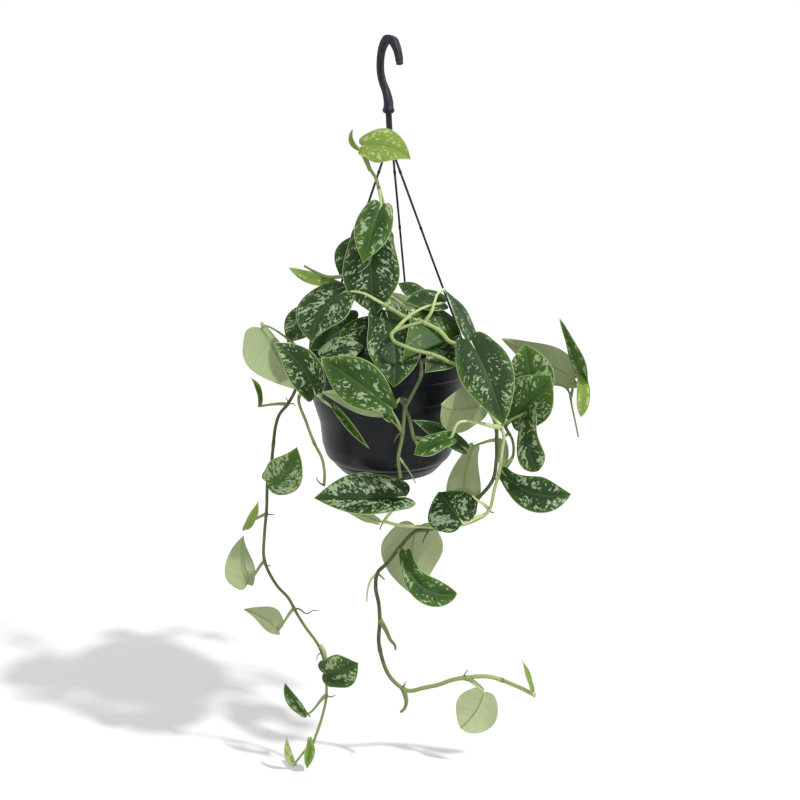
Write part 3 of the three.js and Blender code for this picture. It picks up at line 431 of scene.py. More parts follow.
def leaf_upper():
    """Dark satin green with silver flecks laid along the side veins, and a fine pale margin."""
    n = Nodes("leaf_upper")
    place = n.vector("fleck")
    edge = n.number("edge_mm")
    rib = n.number("rib_mm")
    young = n.number("young")
    silver = n.number("silver")

    cloud = n.noise(n.scaled(place, 0.06, 0.06, 1), 1, detail=1)
    near_edge = n.ramp(edge, 0, 9, 0.3, 0)
    lift = n.plus(n.plus(young, near_edge), n.times(cloud, 0.5, -0.25))
    lift = n.math("MINIMUM", n.math("MAXIMUM", lift, 0), 1)
    green = n.mix(n.ramp(lift, 0, 0.5), "#223819", "#3b5a1a")
    green = n.mix(n.ramp(lift, 0.5, 1), green, "#6f8639")

    blotch = n.noise(n.scaled(place, 0.29, 0.33, 1), 1, detail=3, rough=0.58, distortion=0.5)
    group = n.noise(n.scaled(place, 0.055, 0.07, 1), 1, detail=0)
    height = n.plus(blotch, n.times(group, 0.3, -0.15))
    bar = n.times(silver, -0.16, 0.645)
    off_rib = n.ramp(rib, 1.5, 6, 0.16, 0)
    off_edge = n.ramp(edge, 0.6, 2.4, 0.12, 0)
    bar = n.plus(bar, n.plus(off_rib, off_edge))
    over = n.math("SUBTRACT", height, bar)
    fleck = n.ramp(over, -0.006, 0.018)
    shine = n.mix(n.ramp(lift, 0.3, 1), "#8b9d7b", "#a3b073")
    colour = n.mix(n.times(fleck, 0.92), green, shine)

    rib_line = n.ramp(rib, 0.2, 0.9, 0.5, 0)
    colour = n.mix(rib_line, colour, n.mix(0.35, green, "#5f7a3c"))
    margin = n.ramp(edge, 0.3, 0.9, 0.9, 0)
    colour = n.mix(margin, colour, "#94a77b")

    grain = n.noise(place, 1.6, detail=2)
    veins = n.math("SINE", n.times(n.number("vein_mm"), 2 * math.pi / FLECK_VEINS))
    relief = n.plus(n.times(veins, 0.35), n.times(grain, 0.5))
    relief = n.plus(relief, n.times(fleck, 0.25))
    n.bump(relief, 0.00025, 0.6)
    rough = n.times(fleck, -0.06, 0.48)
    rough = n.times(grain, 0.1, n.math("SUBTRACT", rough, 0.05))
    return n.finish(colour, rough, Specular_IOR_Level=0.16)


def leaf_under():
    """Pale matt sage with a raised rib and faint side veins."""
    n = Nodes("leaf_under")
    place = n.vector("fleck")
    edge = n.number("edge_mm")
    rib = n.number("rib_mm")
    tone = n.number("under")
    cloud = n.noise(n.scaled(place, 0.05, 0.05, 1), 1, detail=2)
    base = n.mix(n.times(tone, 0.8), "#6c7a55", "#bcc79c")
    colour = n.mix(n.times(cloud, 0.45), base, "#7f8f5c")
    vein = n.math("SINE", n.times(n.number("vein_mm"), 2 * math.pi / UNDER_VEINS))
    vein = n.ramp(vein, 0.82, 1, 0, 0.22)
    colour = n.mix(vein, colour, "#a3b080")
    rib_line = n.ramp(rib, 0.3, 1.1, 0.75, 0)
    colour = n.mix(rib_line, colour, "#74853f")
    margin = n.ramp(edge, 0.3, 1, 0.5, 0)
    colour = n.mix(margin, colour, "#a0ad80")
    grain = n.noise(place, 1.8, detail=2)
    n.bump(n.plus(n.times(vein, 2), n.times(grain, 0.4)), 0.0002, 0.5)
    return n.finish(colour, n.times(grain, 0.12, 0.48), Specular_IOR_Level=0.16)


def stalk_skin():
    """Stems and leaf stalks: from dark olive to pale green, with brown scars at the nodes."""
    n = Nodes("stalk_skin")
    tone = n.number("tone")
    scar = n.number("scar")
    place = n.object_place()
    streak = n.noise(n.scaled(place, 900, 900, 90), 1, detail=2)
    green = n.mix(n.ramp(tone, 0, 0.5), "#2f3c26", "#7b8d55")
    green = n.mix(n.ramp(tone, 0.5, 1), green, "#bccb8c")
    colour = n.mix(n.ramp(streak, 0.35, 0.7, 0, 0.35), green, "#6d7c4a")
    colour = n.mix(n.ramp(scar, 0, 1, 0, 0.8), colour, "#6b5638")
    n.bump(streak, 0.0003, 0.5)
    return n.finish(colour, n.times(streak, 0.15, 0.4), Specular_IOR_Level=0.2)


def root_skin():
    """Brown bark of the aerial roots, streaked along the plant's hang."""
    n = Nodes("root_skin")
    place = n.object_place()
    bark = n.noise(n.scaled(place, 600, 600, 250), 1, detail=3)
    colour = n.mix(bark, "#2f2520", "#7a5b48")
    n.bump(bark, 0.0004, 0.8)
    return n.finish(colour, 0.75)


def pot_plastic():
    """Black moulded plastic with a satin gloss, fine scuffs and a little dust near the foot."""
    n = Nodes("pot_plastic")
    place = n.object_place()
    haze = n.noise(place, 26, detail=4)
    scuff = n.noise(n.scaled(place, 1, 1, 6), 240, detail=2)
    colour = n.mix(haze, "#0f1013", "#17181b")
    height = n.add("ShaderNodeSeparateXYZ")
    n.link(place, height.inputs[0])
    low = n.ramp(height.outputs[2], (POT_FOOT + 22) * MM, (POT_FOOT + 6) * MM)
    patch = n.ramp(n.noise(place, 60, detail=2), 0.5, 0.62)
    dust = n.ramp(n.specks(place, 800), 0.3, 0.16)
    dust = n.times(n.times(dust, low), patch)
    colour = n.mix(n.times(dust, 0.7), colour, "#8f8577")
    n.bump(n.plus(n.times(scuff, 0.4), haze), 0.0003, 0.25)
    rough = n.times(haze, 0.16, 0.3)
    return n.finish(colour, n.times(dust, 0.4, rough), Specular_IOR_Level=0.2)


def hanger_plastic():
    """Black plastic with lighter drawn streaks, for the hook and its strands."""
    n = Nodes("hanger_plastic")
    place = n.object_place()
    streak = n.noise(n.scaled(place, 500, 500, 40), 1, detail=3)
    colour = n.mix(n.ramp(streak, 0.4, 0.75), "#1a1c21", "#31353f")
    n.bump(streak, 0.0003, 0.4)
    return n.finish(colour, n.times(streak, 0.2, 0.34), Specular_IOR_Level=0.2)


def soil_mix():
    """Dark crumbly potting mix with pale grit."""
    n = Nodes("soil_mix")
    place = n.object_place()
    crumb = n.noise(place, 420, detail=5, rough=0.7)
    grit = n.specks(place, 260)
    colour = n.mix(crumb, "#15100c", "#4a3626")
    colour = n.mix(n.ramp(grit, 0.12, 0.05, 0, 0.7), colour, "#8a7658")
    n.bump(n.plus(crumb, n.times(grit, 0.6)), 0.0015, 1)
    return n.finish(colour, 0.92, Specular_IOR_Level=0.2)


UPPER, UNDER, STALK, ROOT = leaf_upper(), leaf_under(), stalk_skin(), root_skin()
POT_LOOK, HANGER_LOOK, SOIL_LOOK = pot_plastic(), hanger_plastic(), soil_mix()


# ---- mesh helpers
class Shape:
    """Collects points, faces and point attributes, then becomes one Blender object."""

    def __init__(self):
        self.points = []
        self.faces = []
        self.slots = []
        self.attributes = {}
        self.count = 0

    def add(self, points, faces, slot=0, **attributes):
        """Adds points in mm and faces that index into them, with one material slot or one a face.
        All parts of a shape give the same attributes, each with a value or row for every point."""
        for name, values in attributes.items():
            self.attributes.setdefault(name, []).append(np.asarray(values, float))
        self.points.append(np.asarray(points, float))
        self.faces += [tuple(self.count + i for i in face) for face in faces]
        self.slots += [slot] * len(faces) if np.isscalar(slot) else slot
        self.count += len(points)

    def object(self, name, materials):
        mesh = bpy.data.meshes.new(name)
        mesh.from_pydata((np.concatenate(self.points) * MM).tolist(), [], self.faces)
        for material in materials:
            mesh.materials.append(material)
        mesh.polygons.foreach_set("material_index", self.slots)
        mesh.polygons.foreach_set("use_smooth", [True] * len(mesh.polygons))
        for key, rows in self.attributes.items():
            values = np.concatenate(rows).astype(np.float32)
            kind, field = ("FLOAT", "value") if values.ndim == 1 else ("FLOAT_VECTOR", "vector")
            layer = mesh.attributes.new(key, kind, "POINT")
            layer.data.foreach_set(field, values.ravel())
        mesh.validate()
        mesh.update()
        piece = bpy.data.objects.new(name, mesh)
        bpy.context.scene.collection.objects.link(piece)
        return piece


def place_piece(piece, node):
    """Every piece rides on the one body and stands in for its CAD node, which is hidden."""
    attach(piece, BODY)
    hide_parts(node)


def unit(v):
    v = np.asarray(v, float)
    return v / max(np.linalg.norm(v), 1e-9)


SPAN_STEPS = 24                # places in a smooth line's span, before they are evened out


def smooth_line(points, pitch):
    """Evenly spaced places on a centripetal Catmull-Rom curve through the points."""
    p = np.asarray(points, float)
    p = np.vstack([2 * p[0] - p[1], p, 2 * p[-1] - p[-2]])
    fine = []
    for i in range(1, len(p) - 2):
        a, b, c, d = p[i - 1:i + 3]
        t0 = 0.0
        t1 = t0 + np.linalg.norm(b - a) ** 0.5
        t2 = t1 + np.linalg.norm(c - b) ** 0.5
        t3 = t2 + np.linalg.norm(d - c) ** 0.5
        t = np.linspace(t1, t2, SPAN_STEPS, endpoint=False)[:, None]

        def between(start, end, first, last):
            return (end - t) / (end - start) * first + (t - start) / (end - start) * last

        ab, bc, cd = between(t0, t1, a, b), between(t1, t2, b, c), between(t2, t3, c, d)
        fine.append(between(t1, t2, between(t0, t2, ab, bc), between(t1, t3, bc, cd)))
    fine = np.vstack([*fine, p[-2:-1]])
    return even(fine, pitch)


def even(line, pitch):
    """Places along a line at about that pitch."""
    reach = along(line)
    steps = max(3, round(reach[-1] / pitch))
    at = np.linspace(0, reach[-1], steps + 1)
    return np.stack([np.interp(at, reach, line[:, k]) for k in range(3)], 1)


def along(line):
    """Distance from the line's start to each of its points."""
    return np.concatenate([[0], np.cumsum(np.linalg.norm(np.diff(line, axis=0), axis=1))])


def nearest_on(lines, place):
    """Index of the line, index of its point and the point nearest to place."""
    gaps = [np.linalg.norm(line - np.asarray(place, float), axis=1) for line in lines]
    k = min(range(len(lines)), key=lambda n: gaps[n].min())
    i = int(gaps[k].argmin())
    return k, i, lines[k][i]


def turns(sides):
    """Angles spread evenly round a circle."""
    return 2 * math.pi * np.arange(sides) / sides


def band(low, high, sides):
    """Faces between two rings of points, each told by the index of its first point."""
    steps = [(j, (j + 1) % sides) for j in range(sides)]
    return [(low + j, low + m, high + m, high + j) for j, m in steps]


CAP_REACH = 0.4                # how far a tube's ends stand out, in radii


def tube(shape, line, radii, sides=12, slot=0, section=None, top=None, **attributes):
    """A round bar along a line. section scales the radius round it, from the side named top."""
    line = np.asarray(line, float)
    radii = np.broadcast_to(np.asarray(radii, float), (len(line),))
    ahead = np.gradient(line, axis=0)
    ahead /= np.maximum(np.linalg.norm(ahead, axis=1)[:, None], 1e-9)
    turn = turns(sides)
    stretch = np.ones(sides) if section is None else section(turn)
    first = np.array([1.0, 0, 0]) if abs(ahead[0][0]) < 0.8 else np.array([0, 1.0, 0])
    across = first if top is None else np.asarray(top, float)
    rings = []
    for centre, forward, radius in zip(line, ahead, radii):
        across = unit(across - forward * across.dot(forward))
        other = np.cross(forward, across)
        rings.append(centre + radius * stretch[:, None]
                     * (np.cos(turn)[:, None] * across + np.sin(turn)[:, None] * other))
    points = np.vstack([*rings, line[:1] - ahead[:1] * radii[0] * CAP_REACH,
                        line[-1:] + ahead[-1:] * radii[-1] * CAP_REACH])
    faces = []
    for i in range(len(line) - 1):
        faces += band(i * sides, (i + 1) * sides, sides)
    first_cap, last_cap = len(points) - 2, len(points) - 1
    end = (len(line) - 1) * sides
    for j in range(sides):
        k = (j + 1) % sides
        faces += [(k, j, first_cap), (end + j, end + k, last_cap)]
    spread = {}
    for name, value in attributes.items():
        value = np.broadcast_to(np.asarray(value, float), (len(line),))
        spread[name] = np.concatenate([np.repeat(value, sides), value[:1], value[-1:]])
    shape.add(points, faces, slot, **spread)


# ---- leaves
def outline_width(leaf, s):
    """Width from the sinus, s = 0, to the tip. A larger full puts the widest place nearer the tip,
    a larger heel makes the blade broader at the sinus, and a smaller point makes it rounder."""
    sine = np.sin(math.pi * (leaf["heel"] + (1 - leaf["heel"]) * s ** leaf["full"]))
    return np.maximum(sine, 0) ** leaf["point"]


LOBE_BACK, CORNER_AHEAD = 0.30, 0.26   # lobes reach back, and their outer corners forward, in heels
RIPPLES = 1.5                  # waves along each half's rim


def lobe_reach(leaf, t):
    """How far the lobes reach back behind the sinus, in blade lengths."""
    side = np.minimum(1, np.abs(t))
    return leaf["heel"] * (LOBE_BACK * np.sin(math.pi * side) ** 0.8 - CORNER_AHEAD * side ** 4)


def swing(angle, here, there):
    """The first direction turned towards the second, by each of the angles."""
    return np.cos(angle)[:, None] * here + np.sin(angle)[:, None] * there


def blade_point(leaf, s, t):
    """Places and normals of the blade's middle surface, in mm, for arrays s and t."""
    base, tip = np.asarray(leaf["base"], float), np.asarray(leaf["tip"], float)
    chord = np.linalg.norm(tip - base)
    forward = unit(tip - base)
    face = np.asarray(leaf["face"], float)
    up = unit(face - forward * face.dot(forward))
    side = np.cross(forward, up)

    u = s - lobe_reach(leaf, t) * (1 - s) ** 3
    bend = math.radians(leaf["arch"])
    radius = chord / (2 * math.sin(bend / 2))
    angle = bend * (u - 0.5)
    ahead = swing(angle, forward, -up)
    above = swing(angle, up, forward)
    centre = (base + (radius * (np.sin(angle) + math.sin(bend / 2)))[:, None] * forward
              + (radius * (np.cos(angle) - math.cos(bend / 2)))[:, None] * up
              + (leaf["sway"] * 4 * u * (1 - u) * chord)[:, None] * side)

    yaw = np.arctan(leaf["sway"] * 4 * (1 - 2 * u))
    flat = swing(yaw, side, -ahead)
    roll = math.radians(leaf["twist"]) * (u - 0.5)
    across = swing(roll, flat, above)
    normal = swing(roll, above, -flat)

    sign = np.where(t < 0, -1.0, 1.0)
    half = leaf["wide"] * chord / 2
    reach = np.abs(t) * outline_width(leaf, s) * half
    left, right = np.radians(leaf["fold"])
    rise = np.where(t < 0, left, right)
    curl = math.radians(leaf["cup"] or 0.01)
    turn = rise + curl * reach / half
    out = half / curl * (np.sin(turn) - np.sin(rise))
    lift = -half / curl * (np.cos(turn) - np.cos(rise))
    ripple = leaf["wave"] * chord * t * t * np.sin(2 * math.pi * (RIPPLES * s + 0.25 * sign))
    place = centre + (sign * out)[:, None] * across + (lift + ripple)[:, None] * normal
    return place, swing(sign * turn, normal, -across)


HALF_COLUMNS = [0.02, 0.045, 0.085, 0.15, 0.24, 0.35, 0.47, 0.60, 0.73, 0.85, 0.94, 1.0]
COLUMNS = np.array([-c for c in reversed(HALF_COLUMNS)] + [0.0] + HALF_COLUMNS)
ROWS = 34
BLADE_THICK, EDGE_SHARE = 0.5, 0.6     # in mm, and the share of it that is left at the rim
RIM_ROUND = 0.18
GROOVE_DEPTH, GROOVE_WIDTH = 0.30, 1.1     # along the rib, on the upper face
RIDGE_DEPTH, RIDGE_WIDTH = 0.75, 0.9       # along the rib, on the under face
TIP_FADE = 0.7                 # how much of both is gone at the tip
QUILT_RISE, QUILT_PITCH = 0.12, 11         # the swell between the side veins
VEIN_SLANT = 0.55              # how far a side vein runs to the tip for each mm from the rib
HALVES_APART, LEAVES_APART = 40, 7.31      # keep the flecks of halves and of leaves from repeating


def add_blade(shape, leaf, seed):
    """One leaf blade: upper and under face and a rounded rim, closed."""
    chord = np.linalg.norm(np.subtract(leaf["tip"], leaf["base"]))
    half = leaf["wide"] * chord / 2
    rows = 0.5 - 0.5 * np.cos(np.linspace(0.12, math.pi, ROWS))     # closer at both ends
    rows = (rows - rows[0]) / (rows[-1] - rows[0])
    s, t = np.meshgrid(rows[:-1], COLUMNS, indexing="ij")
    s, t = np.append(s, 1.0), np.append(t, 0.0)
    middle, normal = blade_point(leaf, s, t)

    width = outline_width(leaf, s) * half
    from_rib = np.abs(t) * width
    edge = np.minimum((1 - np.abs(t)) * width, s * chord + 0.25 * half * (1 - np.abs(t)))
    edge[-1] = 0
    vein = s * chord - VEIN_SLANT * from_rib
    fade = 1 - TIP_FADE * s
    groove = GROOVE_DEPTH * np.exp(-(from_rib / GROOVE_WIDTH) ** 2) * fade
    ridge = RIDGE_DEPTH * np.exp(-(from_rib / RIDGE_WIDTH) ** 2) * fade
    quilt = QUILT_RISE * np.sin(2 * math.pi * vein / QUILT_PITCH)
    quilt = quilt * np.minimum(1, from_rib / 4) * np.minimum(1, edge / 3)
    thick = BLADE_THICK / 2 * (EDGE_SHARE + (1 - EDGE_SHARE) * np.minimum(1, edge / 4))
    upper = middle + normal * (thick - groove + quilt)[:, None]
    under = middle - normal * (thick + ridge - quilt)[:, None]

    columns, last = len(COLUMNS), ROWS - 1
    size = columns * last + 1
    tip = size - 1
    faces, slots = [], []

    def both(*corner):
        faces.append(tuple(corner))
        slots.append(0)
        faces.append(tuple(size + c for c in reversed(corner)))
        slots.append(1)

    for i in range(last - 1):
        for j in range(columns - 1):
            a = i * columns + j
            both(a, a + 1, a + 1 + columns, a + columns)
    for j in range(columns - 1):
        a = (last - 1) * columns + j
        both(a, a + 1, tip)

    ring = list(range(columns))
    ring += [i * columns + columns - 1 for i in range(1, last)] + [tip]
    ring += [i * columns for i in range(last - 1, 0, -1)]
    centre = (upper[ring] + under[ring]) / 2
    inward = blade_point(leaf, np.clip(s[ring] + 0.04, 0, 0.97), t[ring] * 0.9)[0]
    away = centre - inward
    away /= np.maximum(np.linalg.norm(away, axis=1)[:, None], 1e-6)
    rim = centre + away * RIM_ROUND
    start = 2 * size
    for k, a in enumerate(ring):
        m = (k + 1) % len(ring)
        b = ring[m]
        faces += [(a, start + k, start + m, b), (start + k, size + a, size + b, start + m)]
        slots += [0, 0]

    points = np.vstack([upper, under, rim])
    across = np.where(t < 0, -from_rib, from_rib + HALVES_APART)
    fleck = np.stack([across, vein, np.full(len(s), seed * LEAVES_APART)], 1)
    fleck, rib_mm, vein_mm = [np.concatenate([v, v, v[ring]]) for v in (fleck, from_rib, vein)]
    edge_mm = np.concatenate([edge, edge, np.zeros(len(ring))])
    looks = {key: np.full(len(points), leaf[key]) for key in ("young", "silver", "under")}
    shape.add(points, faces, slots, fleck=fleck, edge_mm=edge_mm, rib_mm=rib_mm, vein_mm=vein_mm, **looks)


STALK_R, STALK_STEPS = 1.15, 28        # the radius is that of a long stalk
FLATTENED = 0.28               # how much of the radius is cut off above
SHEATH_RISE, SHEATH_SHARE = 0.6075, 0.35       # the sheath's extra radius, and its share of the length
KNEE_RISE, KNEE_AT, KNEE_SPAN = 0.25, 0.86, 0.07       # the thicker bit below the blade
UNDER_RIB = [(0.02, 0.5), (0.06, 0.45), (0.12, 0.4)]   # the stalk's end: place along the rib, mm below
END_TAPER = [0.95, 0.8, 0.55, 0.3]     # the last rings' shares of the radius


def channel(turn):
    """Section of a leaf stalk: round below, flat above."""
    return 1 - FLATTENED * np.maximum(0, np.cos(turn)) ** 2


def add_stalk(shape, leaf, start, tone):
    """The leaf stalk: winged sheath at the stem, channelled, thickened just below the blade."""
    zero = np.zeros(1)
    sinus, facing = (a[0] for a in blade_point(leaf, zero, zero))
    inside = blade_point(leaf, zero + 0.05, zero)[0][0]
    reach = min(30, np.linalg.norm(sinus - start))
    back = unit(sinus - inside)
    approach = sinus + back * reach * 0.22 - facing * reach * 0.25
    leave = start + (sinus - start) * 0.35 + np.array([0, 0, reach * 0.12])     # rises from the stem
    k = np.linspace(0, 1, STALK_STEPS)[:, None]
    line = ((1 - k) ** 3 * start + 3 * (1 - k) ** 2 * k * leave + 3 * (1 - k) * k ** 2 * approach
            + k ** 3 * sinus)
    if leaf["via"]:
        line = smooth_line([start, *leaf["via"], sinus], STALK_PITCH)
    rib_at, below = np.transpose(UNDER_RIB)
    rib, normal = blade_point(leaf, rib_at, 0 * rib_at)
    line = np.vstack([line, rib - normal * below[:, None]])
    length = along(line)[-1]
    run = along(line) / length
    size = min(1.0, 0.55 + length / 60)        # short stalks are thinner
    sheath = SHEATH_RISE * leaf["wing"] * np.exp(-(run / SHEATH_SHARE) ** 2)
    knee = KNEE_RISE * np.exp(-((run - KNEE_AT) / KNEE_SPAN) ** 2)
    radii = size * (STALK_R + sheath + knee)
    radii[-len(END_TAPER):] *= END_TAPER
    tube(shape, line, radii, sides=12, section=channel, top=facing,
         tone=np.linspace(tone, min(1, tone + 0.15), len(line)),
         scar=0.5 * np.exp(-(run * length / 1.5) ** 2))


# ---- stems
STEM_PITCH, STALK_PITCH, TRIM_PITCH = 1.6, 1.5, 1.0    # mm from ring to ring
NODE_SWELL, NODE_SPAN = 0.22, 2.6      # how much thicker a stem is at its nodes, and how far along, mm
SCAR_PAST, SCAR_SPAN = 1.5, 0.8        # how far past its node a brown scar lies, and its half length
LONG_GAP = 70                  # mm between leaves in which a bare node shows halfway


def bumps_along(reach, places, width):
    """The sum of soft bumps of that width at places along a line."""
    return sum((np.exp(-((reach - place) / width) ** 2) for place in places), np.zeros(len(reach)))


def tone_at(tones, share):
    """The stem's tone, from dark olive, 0, to pale green, 1, at a share of its length."""
    return np.interp(share, np.linspace(0, 1, len(tones)), tones)


def stem_lines(routes):
    """Smooth lines of the stems: each starts in the soil or on an earlier one."""
    lines = []
    for route in routes:
        line = smooth_line(route, STEM_PITCH)
        if route[0][2] == SPROUT:
            foot = np.array([*route[0][:2], SOIL_TOP - STEM_SINK], float)
            line = np.vstack([foot + (line[0] - foot) * k for k in np.linspace(0, 0.95, 8)] + [line])
        else:
            line[0] = nearest_on(lines, line[0])[2]
        lines.append(line)
    return lines


def make_vine(name, plan, seed):
    """A vine's two pieces: its blades, and its stems with leaf stalks and trim."""
    blades, stalks = Shape(), Shape()
    lines = stem_lines(plan["stems"])
    starts = [nearest_on(lines, leaf["start"]) for leaf in plan["leaves"]]
    for k, line in enumerate(lines):
        reach = along(line)
        nodes = sorted({round(reach[i]) for where, i, _ in starts if where == k})
        pairs = zip([0, *nodes], [*nodes, reach[-1]])
        nodes += [(a + b) / 2 for a, b in pairs if b - a > LONG_GAP]
        swell = 1 + NODE_SWELL * np.minimum(1, bumps_along(reach, nodes, NODE_SPAN))
        scar = np.minimum(1, bumps_along(reach - SCAR_PAST, nodes, SCAR_SPAN))
        radii = np.interp(reach, [0, reach[-1]], plan["radius"]) * swell
        tube(stalks, line, radii, sides=14, tone=tone_at(plan["tone"], reach / reach[-1]), scar=scar)
    for k, (leaf_here, (where, i, start)) in enumerate(zip(plan["leaves"], starts)):
        tone = tone_at(plan["tone"], i / len(lines[where]))
        add_stalk(stalks, leaf_here, start, min(1, 0.35 + 0.6 * tone))     # paler than the stem
        add_blade(blades, leaf_here, seed + k)
    for bit in plan["trim"]:
        line = smooth_line(bit["route"], TRIM_PITCH)
        radii = np.linspace(*bit["radius"], len(line))
        tube(stalks, line, radii, sides=10, slot=bit["slot"], tone=bit["tone"], scar=0)
    place_piece(blades.object(name + "_blades", [UPPER, UNDER]), name)
    place_piece(stalks.object(name + "_stalks", [STALK, ROOT]), name)


for k, (name, plan) in enumerate(VINES.items()):
    make_vine(name, plan, 20 * k)


# ---- pot, saucer, soil
def circle(radius, height, sides, at=(0, 0)):
    """Points of a circle about at = (x, y), in mm; height is one number or one a point."""
    turn = turns(sides)
    return np.stack([at[0] + radius * np.cos(turn), at[1] + radius * np.sin(turn), height + 0 * turn], 1)


def lathe(shape, outline, sides=128, at=(0, 0)):
    """A body of revolution about at = (x, y), from a closed [radius, height] outline, in mm."""
    faces = []
    for i, (radius, _) in enumerate(outline):
        k = (i + 1) % len(outline)
        if radius or outline[k][0]:
            faces += band(i * sides, k * sides, sides)
    shape.add(np.vstack([circle(radius, height, sides, at) for radius, height in outline]), faces)


def step_to(degrees, reach=1):
    """x and y of a step of that length in a direction about the pot's axis."""
    return reach * math.cos(math.radians(degrees)), reach * math.sin(math.radians(degrees))


CORNER_STEPS = 3


def rounded(outline, radius=0.8):
    """The closed outline with each corner off the axis cut to a small arc."""
    outline = [np.asarray(p, float) for p in outline]
    made = []
    for i, corner in enumerate(outline):
        if corner[0] == 0:
            made.append(corner)
            continue
        sides = outline[i - 1] - corner, outline[(i + 1) % len(outline)] - corner
        a, b = [corner + unit(side) * min(radius, np.linalg.norm(side) * 0.4) for side in sides]
        for k in np.linspace(0, 1, CORNER_STEPS + 1):
            made.append((1 - k) ** 2 * a + 2 * (1 - k) * k * corner + k ** 2 * b)
    return made


POT_OUTSIDE = [
    (0, -391.5), (49, -391.5), (51, POT_FOOT), (57, POT_FOOT), (61, -390.5), (63.5, -386.5),
    (66.5, -376), (68.5, -355), (72.5, -342), (75.2, -333), (75.7, -327.5), (76.3, -326.8),
    (76.5, -307.2), (RIM_R - 0.3, -306), (RIM_R, -289), (RIM_R - 1, RIM_TOP),
]
POT_INSIDE = [
    (75, RIM_TOP), (74, -304), (73.4, -328), (70.4, -343), (66.4, -356),
    (64.4, -376), (60, -387), (57, -389.5), (0, -389.5),
]
WELD_GAP = 0.01                # mm


def merged(piece):
    """Welds points that lie together, such as those on a lathe's axis."""
    made = bmesh.new()
    made.from_mesh(piece.data)
    bmesh.ops.remove_doubles(made, verts=made.verts, dist=WELD_GAP * MM)
    bmesh.ops.recalc_face_normals(made, faces=made.faces)
    made.to_mesh(piece.data)
    made.free()
    return piece


LUG_INNER, LUG_OUTER, LUG_HALF = 76.4, 86, 5
LUG_TOP, LUG_FOOT = -289.5, -292.5
LUG_CORNER, LUG_BEVEL = 2, 0.6         # where a corner starts, and how deep its middle is cut


def add_lug(shape, direction):
    """A flat plate with rounded corners that stands out from the rim."""
    half = [(LUG_INNER, LUG_HALF), (LUG_OUTER - LUG_CORNER, LUG_HALF),
            (LUG_OUTER - LUG_BEVEL, LUG_HALF - LUG_BEVEL), (LUG_OUTER, LUG_HALF - LUG_CORNER)]
    outline = [(r, -side) for r, side in half] + half[::-1]
    cos, sin = step_to(direction)
    corners = [(r * cos - side * sin, r * sin + side * cos) for r, side in outline]
    n = len(corners)
    faces = [tuple(range(n)), tuple(reversed(range(n, 2 * n)))]
    for i in range(n):
        k = (i + 1) % n
        faces.append((i, i + n, k + n, k))
    shape.add([(x, y, z) for z in (LUG_TOP, LUG_FOOT) for x, y in corners], faces)


def make_pot():
    """The shell with its rim band and the three lugs that the strands pass through."""
    pot = Shape()
    lathe(pot, rounded([*POT_OUTSIDE, *POT_INSIDE]))
    for _, lug_turn in STRANDS.values():
        add_lug(pot, lug_turn)
    place_piece(merged(pot.object("pot_shell", [POT_LOOK])), "pot")


SAUCER_OUTLINE = [
    (0, SAUCER_FOOT), (46.5, SAUCER_FOOT), (48.5, -404), (55.5, -396.2),
    (56.8, POT_FOOT - 0.3), (54.8, POT_FOOT - 0.3), (53.6, -396), (46.8, -403), (0, -403),
]


def make_saucer():
    """The dish that is clipped under the pot."""
    saucer = Shape()
    lathe(saucer, rounded(SAUCER_OUTLINE, radius=0.5))
    place_piece(merged(saucer.object("saucer_dish", [POT_LOOK])), "saucer")


SOIL_R, SOIL_FOOT = 73.4, -306
SOIL_CROWN, SOIL_SAG = -297.2, 4.0     # height of its middle, and how much lower the edge lies
SOIL_RINGS, SOIL_SIDES = 46, 120
CRUMB_RISE, CALM_EDGE = 1.3, 4         # crumb height, and the width at the wall where it dies out


def make_soil():
    """The potting mix: a slightly domed top with smoothed random crumbs, closed below."""
    bumps = np.random.default_rng(5).normal(0, 1, (SOIL_RINGS, SOIL_SIDES))
    for _ in range(2):
        bumps = (bumps + np.roll(bumps, 1, 1) + np.roll(bumps, -1, 1)
                 + np.roll(bumps, 1, 0) + np.roll(bumps, -1, 0)) / 5
    bumps[0] = bumps[0].mean()
    points = []
    for radius, crumbs in zip(np.linspace(0, SOIL_R, SOIL_RINGS), bumps):
        level = SOIL_CROWN - SOIL_SAG * (radius / SOIL_R) ** 2
        calm = min(1, (SOIL_R - radius) / CALM_EDGE)
        points.append(circle(radius, level + CRUMB_RISE * calm * crumbs, SOIL_SIDES))
    points += [circle(radius, SOIL_FOOT, SOIL_SIDES) for radius in (SOIL_R, 0)]
    faces = []
    for i in range(SOIL_RINGS + 1):
        faces += band(i * SOIL_SIDES, (i + 1) * SOIL_SIDES, SOIL_SIDES)
    soil = Shape()
    soil.add(np.vstack(points), faces)
    place_piece(merged(soil.object("soil_surface", [SOIL_LOOK])), "soil")


make_pot()
make_saucer()
make_soil()


# ---- hanger
HOOK_LINE = [
    (1, -60), (1, -50), (-2, -40.6), (-7, -31), (-9.6, -20.8), (-9, -9), (-6, -0.4),
    (0, 5), (7, 3), (11.2, -2.6), (14, -9), (16, -18.5),
]
COLLAR_X = 0.7                 # the collar's axis, and the top of the stem below it
COLLAR_OUTLINE = [(0, COLLAR_FOOT), (5.6, COLLAR_FOOT), (5.8, -57.6), (3.9, -52), (3.2, -46), (0, -46)]
SPLIT_OUTLINE = [
    (0, SPLIT_Z), (SPLIT_R, SPLIT_Z), (SPLIT_R, SPLIT_Z + 4.6), (2.9, SPLIT_Z + 6.4), (0, SPLIT_Z + 6.4),
]
STEM_R = 2.9
CROWN_AT, CROWN_SPAN, ROOT_SPAN = 0.74, 0.12, 0.2      # along the band, as shares of its length
TIP_FROM, TIP_SHARE = 0.97, 0.9        # the band's end is a little thinner
HOOK_SQUARE = 5                # how square the band's section is; 2 would make it an ellipse
